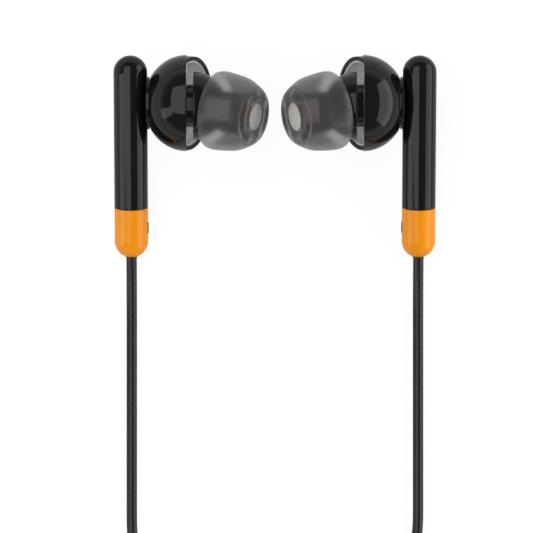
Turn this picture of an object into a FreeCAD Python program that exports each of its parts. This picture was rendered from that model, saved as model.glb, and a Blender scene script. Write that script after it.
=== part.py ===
"""A pair of wired in-ear earphones lying on a table, in millimetres.

X runs from the left earpiece to the right one, Y runs up the stems, and Z is up from the table.
Each earpiece is built in a frame of its own: x from the stem's axis towards the ball-shaped
housing, y up the stem, z away from the table, with the origin on the stem's axis level with the
ball's centre. place() lays it on the table, where it rests on its ball and on its end cap.
The right earpiece is the left one mirrored. The leads run down the table to a folded, tied hank.
"""

import FreeCAD, Part
import math
import os

V = FreeCAD.Vector

# ---- driving dimensions -------------------------------------------------------------------
# stem and its end cap
STEM_R = 2.7
STEM_WALL = 0.6
STEM_DOME_Y = 5.0
CAP_SEAM_Y = -17.0
CAP_LENGTH = 5.6
CAP_WALL = 0.7
SPIGOT_LENGTH = 3.0
SLIP = 0.04
STEM_SPACING = 46.24

# ball-shaped housing
BALL_X = 9.0
BALL_R = 7.7
BALL_DEPTH = 6.9
BALL_WALL = 0.8
COLLAR_R = 4.2
COLLAR_BITE = 0.15
NECK_TUBE_WALL = 0.5
NECK_BORE_R = 1.1

# hood and bright liner on the far side of the ball
NOZZLE_ANGLE = 26.6
NOZZLE_DROOP = 4.5
HOOD_STEP = 0.15
HOOD_WALL = 0.6
HOOD_FACE = 0.8
LINER_WALL = 0.35
LINER_RECESS = 0.3
BAFFLE_THICKNESS = 0.4

# driver pod and nozzle
POD_X = 10.1
POD_Z = 2.25
POD_R = 5.44
POD_WALL = 0.7
POD_NECK_R = 3.4
POD_NECK_WALL = 0.5
POD_BASE = 0.5
NOZZLE_R = 2.6
NOZZLE_BORE_R = 1.75
NOZZLE_NECK = 2.56
RING_DEPTH = 0.2
RING_LENGTH = 3.0
BARB_HEIGHT = 0.2
MESH_THICKNESS = 0.1
FOAM_LENGTH = 1.6

# ear tip
TIP_R = 6.3
TIP_LENGTH = 7.75
TIP_OVERHANG = 0.6
TIP_MOUTH_R = 4.3
TIP_SKIN = 0.5
TIP_CORE_WALL = 0.6
TIP_CLEARANCE = 0.05

# driver
DRIVER_GAP = 0.54
POT_GAP = 0.1
POT_WALL = 0.35
POT_LENGTH = 2.0
COIL_GAP = 0.25
COIL_WALL = 0.25
MAGNET_GAP = 0.2
CONE_TRAVEL = 0.2

# cords
LEAD_D = 1.7
MAIN_D = 2.0
WIRE_R = 0.15
GROMMET_WALL = 0.15

# hank, splitter and tie
HANK_X = 10.0
HANK_Y = -107.0
HANK_HALF_RUN = 15.0
LEADS_OUT_R = 10.8
LEADS_IN_R = 5.1
LEADS_LAYERS = 2
MAIN_OUT_R = 9.66
MAIN_IN_R = 6.0
MAIN_LAYERS = 4
TIE_THICKNESS = 0.5
TIE_WIDTH = 4.0
TIE_Y = -98.0
TWIST_R = 0.8
TWIST_LENGTH = 8.0
SPLITTER_LENGTH = 15.0
SPLITTER_SIDE = 0.2
SPLITTER_THICKNESS = 3.6
SPLITTER_RELIEF = 4.5
SPLITTER_END_Y = -129.0

# plug
PLUG_R = 1.75
PLUG_METAL_LENGTH = 14.0
GRIP_R = 3.0
GRIP_LENGTH = 16.0
RELIEF_LENGTH = 6.5
PLUG_X = -14.0
PLUG_START_Y = -102.0

# ---- sizes worked out from them --------------------------------------------------------------
STEM_BORE_R = STEM_R - STEM_WALL
CAP_DOME_Y = CAP_SEAM_Y - CAP_LENGTH
CAP_END_Y = CAP_DOME_Y - STEM_R
LEAN = math.asin((BALL_R - STEM_R) / -CAP_DOME_Y)
EXIT_REACH = -CAP_END_Y
TOP_REACH = max(BALL_R, STEM_DOME_Y * math.cos(LEAN) + STEM_R)
BALL_CENTRE_Y = (STEM_R - CAP_DOME_Y * math.cos(LEAN) - TOP_REACH) / 2
STEM_AXIS_X = -STEM_SPACING / 2
HOOD_DIR = V(math.cos(math.radians(NOZZLE_ANGLE)), 0, math.sin(math.radians(NOZZLE_ANGLE)))
NOZZLE_DIR = HOOD_DIR * math.cos(math.radians(NOZZLE_DROOP)) - V(0, math.sin(math.radians(NOZZLE_DROOP)), 0)
BALL_CENTRE = V(BALL_X, 0, 0)
POD_CENTRE = V(POD_X, 0, POD_Z)
NECK_TUBE_R = NECK_BORE_R + NECK_TUBE_WALL
COLLAR_START_X = STEM_R - COLLAR_BITE
HOOD_R = BALL_R - HOOD_STEP
GROMMET_R = LEAD_D / 2 + GROMMET_WALL
SPLITTER_WIDTH = 2 * (LEAD_D + SPLITTER_SIDE)
# stations along the nozzle, from the pod's centre
RING_START = POD_R + NOZZLE_NECK
BARB_END = RING_START + RING_LENGTH
NOZZLE_END = BARB_END - 0.3
NOZZLE_STEP_R = NOZZLE_R - RING_DEPTH
BARB_R = NOZZLE_R + BARB_HEIGHT
TIP_FRONT = BARB_END + TIP_OVERHANG
TIP_REAR = TIP_FRONT - TIP_LENGTH
TIP_CORE_START = POD_R + 0.16
RING_LIP_R = NOZZLE_STEP_R - 0.12
# radii inside the driver
DRIVER_R = POD_R - POD_WALL - DRIVER_GAP
POT_R = POD_NECK_R - POD_NECK_WALL - POT_GAP
COIL_R = POT_R - POT_WALL - COIL_GAP
MAGNET_R = COIL_R - COIL_WALL - MAGNET_GAP
DRIVER_START_X = POD_X + POD_BASE + 0.4 - POT_LENGTH
LEAD_Z = LEAD_D / 2
HANK_Z = TIE_THICKNESS
LEADS_HANK_HEIGHT = LEADS_LAYERS * LEAD_D
MAIN_HANK_Z = HANK_Z + LEADS_HANK_HEIGHT
MAIN_HANK_HEIGHT = MAIN_LAYERS * MAIN_D
HANK_TOP_Z = MAIN_HANK_Z + MAIN_HANK_HEIGHT
LEADS_SIDE_R = LEADS_OUT_R + LEAD_D / 2
MAIN_SIDE_R = MAIN_OUT_R + MAIN_D / 2
SPLITTER_X = HANK_X - LEADS_SIDE_R - SPLITTER_WIDTH / 2 - 0.1
SPLITTER_Z = SPLITTER_THICKNESS / 2

X_AXIS = V(1, 0, 0)
Y_AXIS = V(0, 1, 0)
Z_AXIS = V(0, 0, 1)


# ---- helpers --------------------------------------------------------------------------------
def outline_wire(outline):
    """Closed wire in the XY plane from corners (x, y). An entry of two corners is an arc through
    the first to the second, and an entry of three or more is a smooth curve through them all."""
    edges = []
    here = V(*outline[0], 0)
    for step in outline[1:] + [outline[0]]:
        if isinstance(step[0], (int, float)):
            there = V(*step, 0)
            if (there - here).Length > 1e-6:
                edges.append(Part.LineSegment(here, there).toShape())
        elif len(step) == 2:
            there = V(*step[1], 0)
            edges.append(Part.Arc(here, V(*step[0], 0), there).toShape())
        else:
            there = V(*step[-1], 0)
            curve = Part.BSplineCurve()
            curve.interpolate([here] + [V(*corner, 0) for corner in step])
            edges.append(curve.toShape())
        here = there
    return Part.Wire(edges)


def turned(outline, origin=V(0, 0, 0), direction=X_AXIS):
    """Solid of revolution: outline gives (distance along the axis, radius) corners."""
    solid = Part.Face(outline_wire(outline)).revolve(V(0, 0, 0), X_AXIS, 360)
    solid.Placement = FreeCAD.Placement(origin, FreeCAD.Rotation(X_AXIS, direction))
    return solid


def rod(radius, start, end):
    """Round bar between two points."""
    return Part.makeCylinder(radius, (end - start).Length, start, end - start)


def tube(outer, inner, start, end):
    """Round pipe between two points."""
    return rod(outer, start, end).cut(rod(inner, start, end))


def half_space(origin, direction, size=60.0):
    """Block that fills the side of a plane that its normal points to."""
    block = Part.makeBox(size, size, size, V(0, -size / 2, -size / 2))
    block.Placement = FreeCAD.Placement(origin, FreeCAD.Rotation(X_AXIS, direction))
    return block


def on_ellipse(x, depth, radius):
    """Radius of the ball at a distance x from the stem's axis, on its stem side."""
    return radius * math.sqrt(1 - ((BALL_X - x) / depth) ** 2)


def quarter_ball(start_x, end_x, depth, radius):
    """Corners along the ball's meridian, evenly spaced in angle, for a smooth curve."""
    first = math.acos((BALL_X - start_x) / depth)
    last = math.acos((BALL_X - end_x) / depth)
    angles = [first + (last - first) * i / 6 for i in range(1, 7)]
    return [(BALL_X - depth * math.cos(a), radius * math.sin(a)) for a in angles]


def dome_middle(base, edge_r, rise):
    """Point half way along the meridian of a shallow ball-shaped dome."""
    dome_r = (edge_r**2 + rise**2) / (2 * rise)
    angle = math.asin(edge_r / dome_r) / 2
    return base + rise - dome_r * (1 - math.cos(angle)), dome_r * math.sin(angle)


def place(shape):
    """Lays a left earpiece's shape on the table."""
    placed = shape.copy()
    placed.rotate(V(0, 0, 0), X_AXIS, math.degrees(LEAN))
    placed.translate(V(STEM_AXIS_X, BALL_CENTRE_Y, BALL_R))
    return placed


def placed_point(point):
    """Where place() takes a point."""
    turned_point = FreeCAD.Rotation(X_AXIS, math.degrees(LEAN)).multVec(point)
    return turned_point + V(STEM_AXIS_X, BALL_CENTRE_Y, BALL_R)


def cord_tube(points, radius):
    """Tube along straight runs joined by tangent arcs, each as large as its two runs allow."""
    pieces = []
    radii = []
    here = points[0]
    for before, corner, after in zip(points, points[1:], points[2:]):
        back = before - corner
        ahead = after - corner
        turn = math.pi - back.getAngle(ahead)
        reach = 0.45 * min(back.Length, ahead.Length)
        radius_here = reach / math.tan(turn / 2)
        start = corner + back.normalize() * reach
        end = corner + ahead.normalize() * reach
        inward = ((start + end) * 0.5 - corner).normalize()
        middle = corner + inward * radius_here * (1 / math.cos(turn / 2) - 1)
        radii.append(radius_here)
        pieces.append(Part.LineSegment(here, start).toShape())
        pieces.append(Part.Arc(start, middle, end).toShape())
        here = end
    pieces.append(Part.LineSegment(here, points[-1]).toShape())
    path = Part.Wire(pieces)
    first = points[1] - points[0]
    ring = Part.Wire(Part.Circle(points[0], first, radius).toShape())
    solid = path.makePipeShell([ring], True, False)
    share = solid.Volume / (math.pi * radius**2 * path.Length)
    print(f"cord length {path.Length:.1f}, volume share {share:.3f}, radii", [round(r, 1) for r in radii])
    return solid


# ---- stem -----------------------------------------------------------------------------------
def stem_shell():
    """Black tube with a domed top, and a hole on its side for the neck."""
    dome = STEM_R * math.sqrt(0.5)
    inner = STEM_BORE_R * math.sqrt(0.5)
    shell = turned(
        [
            (CAP_SEAM_Y, STEM_BORE_R),
            (CAP_SEAM_Y, STEM_R),
            (STEM_DOME_Y, STEM_R),
            ((STEM_DOME_Y + dome, dome), (STEM_DOME_Y + STEM_R, 0)),
            (STEM_DOME_Y + STEM_BORE_R, 0),
            ((STEM_DOME_Y + inner, inner), (STEM_DOME_Y, STEM_BORE_R)),
        ],
        direction=Y_AXIS,
    )
    return shell.cut(rod(NECK_TUBE_R, V(0, 0, 0), V(STEM_R + 1, 0, 0)))


def stem_cap():
    """Orange end cap: a spigot that plugs into the stem, and a domed end bored for the grommet."""
    bore = STEM_R - CAP_WALL
    dome = STEM_R * math.sqrt(0.5)
    mouth_y = CAP_DOME_Y - math.sqrt(STEM_R**2 - GROMMET_R**2)
    spigot_r = STEM_BORE_R - SLIP
    return turned(
        [
            (CAP_SEAM_Y + SPIGOT_LENGTH, spigot_r - 0.5),
            (CAP_SEAM_Y + SPIGOT_LENGTH, spigot_r),
            (CAP_SEAM_Y, spigot_r),
            (CAP_SEAM_Y, STEM_R),
            (CAP_DOME_Y, STEM_R),
            ((CAP_DOME_Y - dome, dome), (mouth_y, GROMMET_R)),
            (CAP_DOME_Y, GROMMET_R),
            (CAP_DOME_Y, bore),
            (CAP_SEAM_Y - 0.5, bore),
            (CAP_SEAM_Y, spigot_r - 0.5),
        ],
        direction=Y_AXIS,
    )


def cord_grommet():
    """Rubber sleeve where the lead leaves the cap."""
    return tube(GROMMET_R, LEAD_D / 2, V(0, CAP_END_Y, 0), V(0, CAP_DOME_Y, 0))


STOP_START_Y = CAP_DOME_Y + 0.1
STOP_LENGTH = 1.5
INNER_LEAD_END_Y = CAP_SEAM_Y - 1.0


def cord_stop():
    """Crimp ring that keeps the lead from being pulled out through the cap."""
    stop_r = STEM_R - CAP_WALL - 0.2
    return tube(stop_r, LEAD_D / 2, V(0, STOP_START_Y, 0), V(0, STOP_START_Y + STOP_LENGTH, 0))


def inner_lead():
    """The stripped end of the lead inside the cap."""
    return rod(LEAD_D / 2, V(0, CAP_END_Y, 0), V(0, INNER_LEAD_END_Y, 0))


BOARD_THICKNESS = 0.3
BOARD_X = DRIVER_START_X - BOARD_THICKNESS - 0.05
WIRE_SPACING = 0.6


def hookup_wires():
    """Two enamelled wires from the lead's end, up the stem and through the neck to the board."""
    wires = []
    for z in (0.0, WIRE_SPACING):
        bend = 1.0
        corner = V(-0.2, -0.2, z)
        rise = corner - Y_AXIS * bend
        run = corner + X_AXIS * bend
        middle = corner + (X_AXIS - Y_AXIS) * bend * (1 - math.sqrt(0.5))
        path = Part.Wire(
            [
                Part.LineSegment(V(corner.x, INNER_LEAD_END_Y, z), rise).toShape(),
                Part.Arc(rise, middle, run).toShape(),
                Part.LineSegment(run, V(BOARD_X, corner.y, z)).toShape(),
            ]
        )
        ring = Part.Wire(Part.Circle(V(corner.x, INNER_LEAD_END_Y, z), Y_AXIS, WIRE_R).toShape())
        wires.append(path.makePipeShell([ring], True, False))
    return Part.makeCompound(wires)


MARK_Y = CAP_SEAM_Y - 3.3
MARK_HEIGHT = 1.7
MARK_WIDTH = 1.1
MARK_STROKE = 0.28
MARK_RELIEF = 0.1


def wrap_mark(strokes):
    """Letter strokes, boxes or rings in the YZ plane, wrapped on the side of the cap."""
    flat = strokes[0]
    for stroke in strokes[1:]:
        flat = flat.fuse(stroke)
    skin = tube(STEM_R + MARK_RELIEF, STEM_R, V(0, CAP_DOME_Y, 0), V(0, CAP_SEAM_Y, 0))
    return flat.common(skin)


def stroke_box(y0, z0, y1, z1):
    """Letter stroke that covers a rectangle, measured from the mark's lower corner."""
    low = V(0, MARK_Y - MARK_HEIGHT / 2 + y0, z0 - MARK_WIDTH / 2)
    return Part.makeBox(STEM_R + 1, y1 - y0, z1 - z0, low)


def left_mark():
    """Raised letter L, for the left ear, read from the ball's side."""
    return wrap_mark(
        [
            stroke_box(0, MARK_WIDTH - MARK_STROKE, MARK_HEIGHT, MARK_WIDTH),
            stroke_box(0, 0, MARK_STROKE, MARK_WIDTH),
        ]
    )


def right_mark():
    """Raised letter R, for the right ear, built mirrored because its earpiece is."""
    half = MARK_HEIGHT / 2
    bowl_r = (MARK_HEIGHT - half + MARK_STROKE) / 2
    bowl_y = MARK_Y + MARK_HEIGHT / 2 - bowl_r
    bowl_z = MARK_WIDTH / 2 - bowl_r
    far = V(STEM_R + 1, bowl_y, bowl_z)
    bowl = tube(bowl_r, bowl_r - MARK_STROKE, V(0, bowl_y, bowl_z), far)
    bowl = bowl.common(half_space(V(0, 0, bowl_z), Z_AXIS))
    leg = stroke_box(0, MARK_WIDTH - 1.6 * MARK_STROKE, half, MARK_WIDTH - 0.6 * MARK_STROKE)
    strokes = [
        stroke_box(0, 0, MARK_HEIGHT, MARK_STROKE),
        stroke_box(MARK_HEIGHT - MARK_STROKE, 0, MARK_HEIGHT, MARK_WIDTH - bowl_r),
        stroke_box(MARK_HEIGHT - 2 * bowl_r, 0, MARK_HEIGHT - 2 * bowl_r + MARK_STROKE, MARK_WIDTH - bowl_r),
        bowl,
        leg,
    ]
    return wrap_mark(strokes)


# ---- housing --------------------------------------------------------------------------------
BALL_START_X = BALL_X - BALL_DEPTH * math.sqrt(1 - (COLLAR_R / BALL_R) ** 2)


def neck_collar():
    """Collar between the stem and the ball, with a tube that the wires pass through."""
    edge = 0.15
    collar = turned(
        [
            (COLLAR_START_X, 0),
            (COLLAR_START_X, COLLAR_R - edge),
            ((COLLAR_START_X + edge * 0.29, COLLAR_R - edge * 0.29), (COLLAR_START_X + edge, COLLAR_R)),
            (BALL_START_X - 0.15, COLLAR_R),
            (BALL_START_X - 0.15, COLLAR_R - 0.25),
            (BALL_START_X, COLLAR_R - 0.25),
            (BALL_START_X, 0),
        ]
    )
    stem = rod(STEM_R, V(0, CAP_SEAM_Y, 0), V(0, STEM_DOME_Y, 0))
    collar = collar.cut(stem)
    sleeve = rod(NECK_TUBE_R, V(STEM_BORE_R - 0.3, 0, 0), V(BALL_START_X + BALL_WALL + 0.3, 0, 0))
    bore = rod(NECK_BORE_R, V(0, 0, 0), V(BALL_X, 0, 0))
    return collar.fuse(sleeve).cut(bore)


def rear_housing():
    """Rear half of the ball, flattened where the collar meets it, open towards the driver."""
    floor_x = BALL_START_X + BALL_WALL
    inner_depth = BALL_DEPTH - BALL_WALL
    inner_r = BALL_R - BALL_WALL
    inner = quarter_ball(floor_x, BALL_X, inner_depth, inner_r)
    inner_start = (floor_x, on_ellipse(floor_x, inner_depth, inner_r))
    shell = turned(
        [
            (BALL_START_X, NECK_TUBE_R),
            (BALL_START_X, COLLAR_R),
            quarter_ball(BALL_START_X, BALL_X, BALL_DEPTH, BALL_R),
            (BALL_X, inner_r),
            [inner[i] for i in range(4, -1, -1)] + [inner_start],
            (floor_x, NECK_TUBE_R),
        ]
    )
    vent = rod(0.5, V(BALL_X - 2.5, 0, -BALL_R - 1), V(BALL_X - 2.5, 0, -BALL_R / 2))
    return shell.cut(vent)


def hood():
    """Part of the ball beyond the seam, cut square to the nozzle, so it stands on the far side."""
    shell = Part.makeSphere(HOOD_R, BALL_CENTRE).cut(Part.makeSphere(HOOD_R - HOOD_WALL, BALL_CENTRE))
    shell = shell.common(half_space(BALL_CENTRE, X_AXIS))
    return shell.cut(half_space(BALL_CENTRE + HOOD_DIR * HOOD_FACE, HOOD_DIR))


def liner():
    """Bright inner bowl of the hood, in one piece with the baffle behind the driver."""
    outer = HOOD_R - HOOD_WALL
    bowl = Part.makeSphere(outer, BALL_CENTRE).cut(Part.makeSphere(outer - LINER_WALL, BALL_CENTRE))
    bowl = bowl.common(half_space(BALL_CENTRE, X_AXIS))
    bowl = bowl.cut(half_space(BALL_CENTRE + HOOD_DIR * (HOOD_FACE - LINER_RECESS), HOOD_DIR))
    disc_r = BALL_R - BALL_WALL - 0.1
    disc = rod(disc_r, V(BALL_X - BAFFLE_THICKNESS, 0, 0), BALL_CENTRE)
    joined = bowl.fuse(disc)
    return joined.cut(rod(POD_NECK_R, V(BALL_X - 3, 0, POD_Z), V(BALL_X + 3, 0, POD_Z)))


def driver_pod():
    """Front cover: a neck into the ball, a domed chamber for the driver, and the angled nozzle."""
    inner = POD_R - POD_WALL
    outer_dome = Part.makeSphere(POD_R, POD_CENTRE, NOZZLE_DIR).common(half_space(POD_CENTRE, X_AXIS))
    neck = rod(POD_NECK_R, V(BALL_X - 1, 0, POD_Z), POD_CENTRE)
    nozzle = rod(NOZZLE_R, POD_CENTRE + NOZZLE_DIR * (inner - 1), POD_CENTRE + NOZZLE_DIR * RING_START)
    step = rod(NOZZLE_STEP_R, POD_CENTRE + NOZZLE_DIR * RING_START, POD_CENTRE + NOZZLE_DIR * NOZZLE_END)
    chamber = Part.makeSphere(inner, POD_CENTRE, NOZZLE_DIR).common(
        half_space(POD_CENTRE + X_AXIS * POD_BASE, X_AXIS)
    )
    neck_bore = rod(POD_NECK_R - POD_NECK_WALL, V(BALL_X - 2, 0, POD_Z), POD_CENTRE + X_AXIS)
    channel = rod(NOZZLE_BORE_R, POD_CENTRE + NOZZLE_DIR * 3, POD_CENTRE + NOZZLE_DIR * (NOZZLE_END + 1))
    body = outer_dome.fuse(neck).fuse(nozzle).fuse(step)
    return body.cut(chamber).cut(neck_bore).cut(channel).removeSplitter()


def nozzle_ring():
    """Orange barbed ring on the nozzle's end that the ear tip snaps over."""
    lip = NOZZLE_END + MESH_THICKNESS
    return turned(
        [
            (RING_START, NOZZLE_STEP_R),
            (RING_START, NOZZLE_R),
            (RING_START + 0.5, BARB_R),
            (BARB_END - 0.6, BARB_R),
            (BARB_END, NOZZLE_R),
            (BARB_END, RING_LIP_R),
            (lip, RING_LIP_R),
            (lip, NOZZLE_STEP_R),
        ],
        POD_CENTRE,
        NOZZLE_DIR,
    )


def nozzle_mesh():
    """Fine metal mesh disc clamped under the ring's lip."""
    start = POD_CENTRE + NOZZLE_DIR * NOZZLE_END
    return rod(NOZZLE_STEP_R - 0.02, start, start + NOZZLE_DIR * MESH_THICKNESS)


def nozzle_foam():
    """Damping foam plug in the nozzle's channel, just behind the mesh."""
    end = POD_CENTRE + NOZZLE_DIR * (NOZZLE_END - 0.3)
    return rod(NOZZLE_BORE_R, end - NOZZLE_DIR * FOAM_LENGTH, end)


def ear_tip():
    """Silicone tip: a core tube that grips the nozzle, folded back into a thin domed skirt."""
    bore = NOZZLE_R + TIP_CLEARANCE
    groove = BARB_R + TIP_CLEARANCE
    core = groove + TIP_CORE_WALL - 0.2
    rear_edge = TIP_R - 0.1
    return turned(
        [
            (TIP_CORE_START, bore),
            (RING_START - TIP_CLEARANCE, bore),
            (RING_START + 0.4, groove),
            (BARB_END - 0.5, groove),
            (BARB_END + 0.1, bore + 0.05),
            (BARB_END + 0.1, RING_LIP_R),
            (BARB_END + 0.25, RING_LIP_R),
            [
                (TIP_FRONT - 0.2, bore - 0.05),
                (TIP_FRONT - 0.05, bore + 0.3),
                (TIP_FRONT, bore + 0.75),
            ],
            [
                (TIP_FRONT - 0.12, TIP_MOUTH_R - 0.25),
                (TIP_FRONT - 0.5, TIP_MOUTH_R + 0.2),
                (TIP_FRONT - 1.5, TIP_R - 1.15),
                (TIP_FRONT - 3.2, TIP_R - 0.42),
                (TIP_REAR + 1.4, TIP_R),
                (TIP_REAR + 0.2, rear_edge),
            ],
            ((TIP_REAR, rear_edge - 0.15), (TIP_REAR + 0.15, rear_edge - 0.32)),
            [
                (TIP_REAR + 1.4, TIP_R - TIP_SKIN),
                (TIP_FRONT - 3.3, TIP_R - TIP_SKIN - 0.45),
                (TIP_FRONT - 1.8, TIP_MOUTH_R + 0.35),
                (TIP_FRONT - 1.35, core + 0.65),
            ],
            (TIP_FRONT - 1.7, core),
            (TIP_CORE_START, core),
        ],
        POD_CENTRE,
        NOZZLE_DIR,
    )


# ---- driver ---------------------------------------------------------------------------------
POT_FLOOR = 0.4
FRAME_START = POD_X + POD_BASE + 0.05 - DRIVER_START_X
FRAME_THICKNESS = 0.4
FRAME_RIM = 0.5
DRIVER_ORIGIN = V(DRIVER_START_X, 0, POD_Z)
CONE_BASE = FRAME_START + FRAME_THICKNESS + CONE_TRAVEL + 0.25


def driver_frame():
    """Ring that carries the magnet pot and guards the cone's edge."""
    return turned(
        [
            (FRAME_START, POT_R + SLIP),
            (FRAME_START, DRIVER_R),
            (FRAME_START + FRAME_THICKNESS + FRAME_RIM, DRIVER_R),
            (FRAME_START + FRAME_THICKNESS + FRAME_RIM, DRIVER_R - 0.3),
            (FRAME_START + FRAME_THICKNESS, DRIVER_R - 0.3),
            (FRAME_START + FRAME_THICKNESS, POT_R + SLIP),
        ],
        DRIVER_ORIGIN,
    )


def magnet_pot():
    """Steel cup round the magnet."""
    return turned(
        [
            (0, 0),
            (0, POT_R),
            (POT_LENGTH, POT_R),
            (POT_LENGTH, POT_R - POT_WALL),
            (POT_FLOOR, POT_R - POT_WALL),
            (POT_FLOOR, 0),
        ],
        DRIVER_ORIGIN,
    )


MAGNET_END = POT_LENGTH - 0.5
PLATE_END = POT_LENGTH - 0.05


def magnet():
    """Disc magnet on the pot's floor."""
    return rod(MAGNET_R, DRIVER_ORIGIN + X_AXIS * POT_FLOOR, DRIVER_ORIGIN + X_AXIS * MAGNET_END)


def pole_plate():
    """Steel disc on the magnet, inside the voice coil."""
    start = DRIVER_ORIGIN + X_AXIS * MAGNET_END
    return rod(MAGNET_R + 0.05, start, DRIVER_ORIGIN + X_AXIS * PLATE_END)


def voice_coil():
    """Coil in the gap between the pole plate and the pot, fixed to the cone."""
    start = DRIVER_ORIGIN + X_AXIS * (MAGNET_END - 0.2)
    return tube(COIL_R, COIL_R - COIL_WALL, start, DRIVER_ORIGIN + X_AXIS * CONE_BASE)


def diaphragm():
    """Thin dome and rolled surround that the coil drives."""
    skin = 0.12
    rise = 0.5
    roll_rise = 0.3
    edge = DRIVER_R - 0.4
    roll = (COIL_R + edge) / 2
    front = CONE_BASE + skin
    return turned(
        [
            (CONE_BASE + rise, 0),
            (dome_middle(CONE_BASE, COIL_R, rise), (CONE_BASE, COIL_R)),
            ((CONE_BASE + roll_rise, roll), (CONE_BASE, edge)),
            (front, edge),
            ((front + roll_rise, roll), (front, COIL_R)),
            (dome_middle(front, COIL_R, rise), (front + rise, 0)),
        ],
        DRIVER_ORIGIN,
    )


def terminal_board():
    """Round circuit board that the wires are soldered to, behind the magnet pot."""
    start = V(BOARD_X, 0, POD_Z)
    return rod(POT_R - 0.1, start, start + X_AXIS * BOARD_THICKNESS)


# ---- cords ----------------------------------------------------------------------------------
EXIT = placed_point(V(0, CAP_END_Y, 0))
TOUCH_DOWN = (EXIT.z - LEAD_Z) / math.tan(LEAN)


def left_lead_route():
    """From the left cap, straight down the table, then over to the hank's left run."""
    return [
        EXIT,
        V(EXIT.x, EXIT.y - TOUCH_DOWN, LEAD_Z),
        V(EXIT.x, -63.0, LEAD_Z),
        V(-20.6, -71.5, LEAD_Z),
        V(-11.9, -78.3, LEAD_Z),
        V(-3.2, -83.6, LEAD_Z + 0.2),
        V(HANK_X - LEADS_OUT_R, HANK_Y + 15.0, HANK_Z + LEAD_Z),
    ]


def right_lead_route():
    """From the right cap, straight down the table, then over to lie beside the left lead."""
    return [
        V(-EXIT.x, EXIT.y, EXIT.z),
        V(-EXIT.x, EXIT.y - TOUCH_DOWN, LEAD_Z),
        V(-EXIT.x, -62.0, LEAD_Z),
        V(20.9, -69.0, LEAD_Z),
        V(13.0, -73.8, LEAD_Z),
        V(4.0, -77.6, LEAD_Z + 0.2),
        V(HANK_X - LEADS_OUT_R + LEAD_D, HANK_Y + 22.0, HANK_Z + LEAD_Z),
    ]


def lead_end_route(side):
    """The last of a lead, from the hank's left run to the splitter; side is 1 for the outer one."""
    start_x = HANK_X - LEADS_OUT_R + (1 - side) * LEAD_D / 2
    end_x = SPLITTER_X - side * LEAD_D * 0.55
    start_z = HANK_Z + 1.5 * LEAD_D
    entry = SPLITTER_END_Y + SPLITTER_LENGTH
    return [
        V(start_x, HANK_Y + 6.0, start_z),
        V(start_x - 0.5 - side * LEAD_D * 0.17, HANK_Y + 2.0, start_z - 0.15),
        V(end_x, entry + 4.2, SPLITTER_Z),
        V(end_x, entry, SPLITTER_Z),
    ]


def main_start_route():
    """From the splitter round the hank's lower end, and up on to the leads' turns."""
    return [
        V(SPLITTER_X, SPLITTER_END_Y, SPLITTER_Z),
        V(SPLITTER_X, SPLITTER_END_Y - 3.4, SPLITTER_Z),
        V(SPLITTER_X + 1.7, SPLITTER_END_Y - 7.7, SPLITTER_Z),
        V(HANK_X - 8.1, HANK_Y - 32.6, 2.0),
        V(HANK_X - 2.4, HANK_Y - 33.6, 2.4),
        V(HANK_X + 4.4, HANK_Y - 32.4, 3.0),
        V(HANK_X + 10.2, HANK_Y - 28.2, 3.7),
        V(HANK_X + 13.4, HANK_Y - 21.6, 4.4),
        V(HANK_X + 13.9, HANK_Y - 13.6, 4.8),
        V(HANK_X + 12.0, HANK_Y - 6.0, MAIN_HANK_Z + MAIN_D / 2),
        V(HANK_X + MAIN_OUT_R, HANK_Y + 1.0, MAIN_HANK_Z + MAIN_D / 2),
    ]


def tail_route():
    """From the top of the hank, over the leads and down to the plug on the table."""
    top = HANK_TOP_Z - MAIN_D / 2
    return [
        V(HANK_X + 4.0, HANK_Y + 24.1, top),
        V(HANK_X - 3.0, HANK_Y + 25.1, top - 0.3),
        V(HANK_X - 10.0, HANK_Y + 26.6, top - 2.0),
        V(HANK_X - 17.0, HANK_Y + 25.6, top - 4.7),
        V(PLUG_X + 1.6, HANK_Y + 21.6, 4.0),
        V(PLUG_X, PLUG_START_Y + RELIEF_LENGTH + 4.5, GRIP_R),
        V(PLUG_X, PLUG_START_Y + RELIEF_LENGTH, GRIP_R),
    ]


def oval(radius, bottom, height):
    """Upright block on the hank's outline: two straight runs joined by half circles."""
    upper = V(HANK_X, HANK_Y + HANK_HALF_RUN, bottom)
    lower = V(HANK_X, HANK_Y - HANK_HALF_RUN, bottom)
    across = X_AXIS * radius
    edges = [
        Part.LineSegment(lower + across, upper + across).toShape(),
        Part.Arc(upper + across, upper + Y_AXIS * radius, upper - across).toShape(),
        Part.LineSegment(upper - across, lower - across).toShape(),
        Part.Arc(lower - across, lower - Y_AXIS * radius, lower + across).toShape(),
    ]
    return Part.Face(Part.Wire(edges)).extrude(Z_AXIS * height)


def hank(outer, inner, bottom, height):
    """Closed solid of the outer shape of a hank's turns, with its long edges rounded."""
    solid = oval(outer, bottom, height).cut(oval(inner, bottom, height))
    rims = [e for e in solid.Edges if abs(e.Vertexes[0].Z - e.Vertexes[-1].Z) < 1e-6]
    return solid.makeFillet(0.6, rims)


def leads_hank():
    """The turns of the two leads, side by side, on the tie."""
    return hank(LEADS_SIDE_R, LEADS_IN_R - LEAD_D / 2, HANK_Z, LEADS_HANK_HEIGHT)


def main_hank():
    """The turns of the main cord, on top of the leads' turns."""
    return hank(MAIN_SIDE_R, MAIN_IN_R - MAIN_D / 2, MAIN_HANK_Z, MAIN_HANK_HEIGHT)


def lead(route, end_route):
    """A lead's two loose stretches, cut where they enter the hank."""
    wound = leads_hank()
    loose = cord_tube(route, LEAD_D / 2).cut(wound)
    end = cord_tube(end_route, LEAD_D / 2).cut(wound)
    return Part.makeCompound(loose.Solids[:1] + end.Solids[-1:])


def left_lead():
    """Left lead outside the hank."""
    return lead(left_lead_route(), lead_end_route(1))


def right_lead():
    """Right lead outside the hank."""
    return lead(right_lead_route(), lead_end_route(-1))


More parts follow.
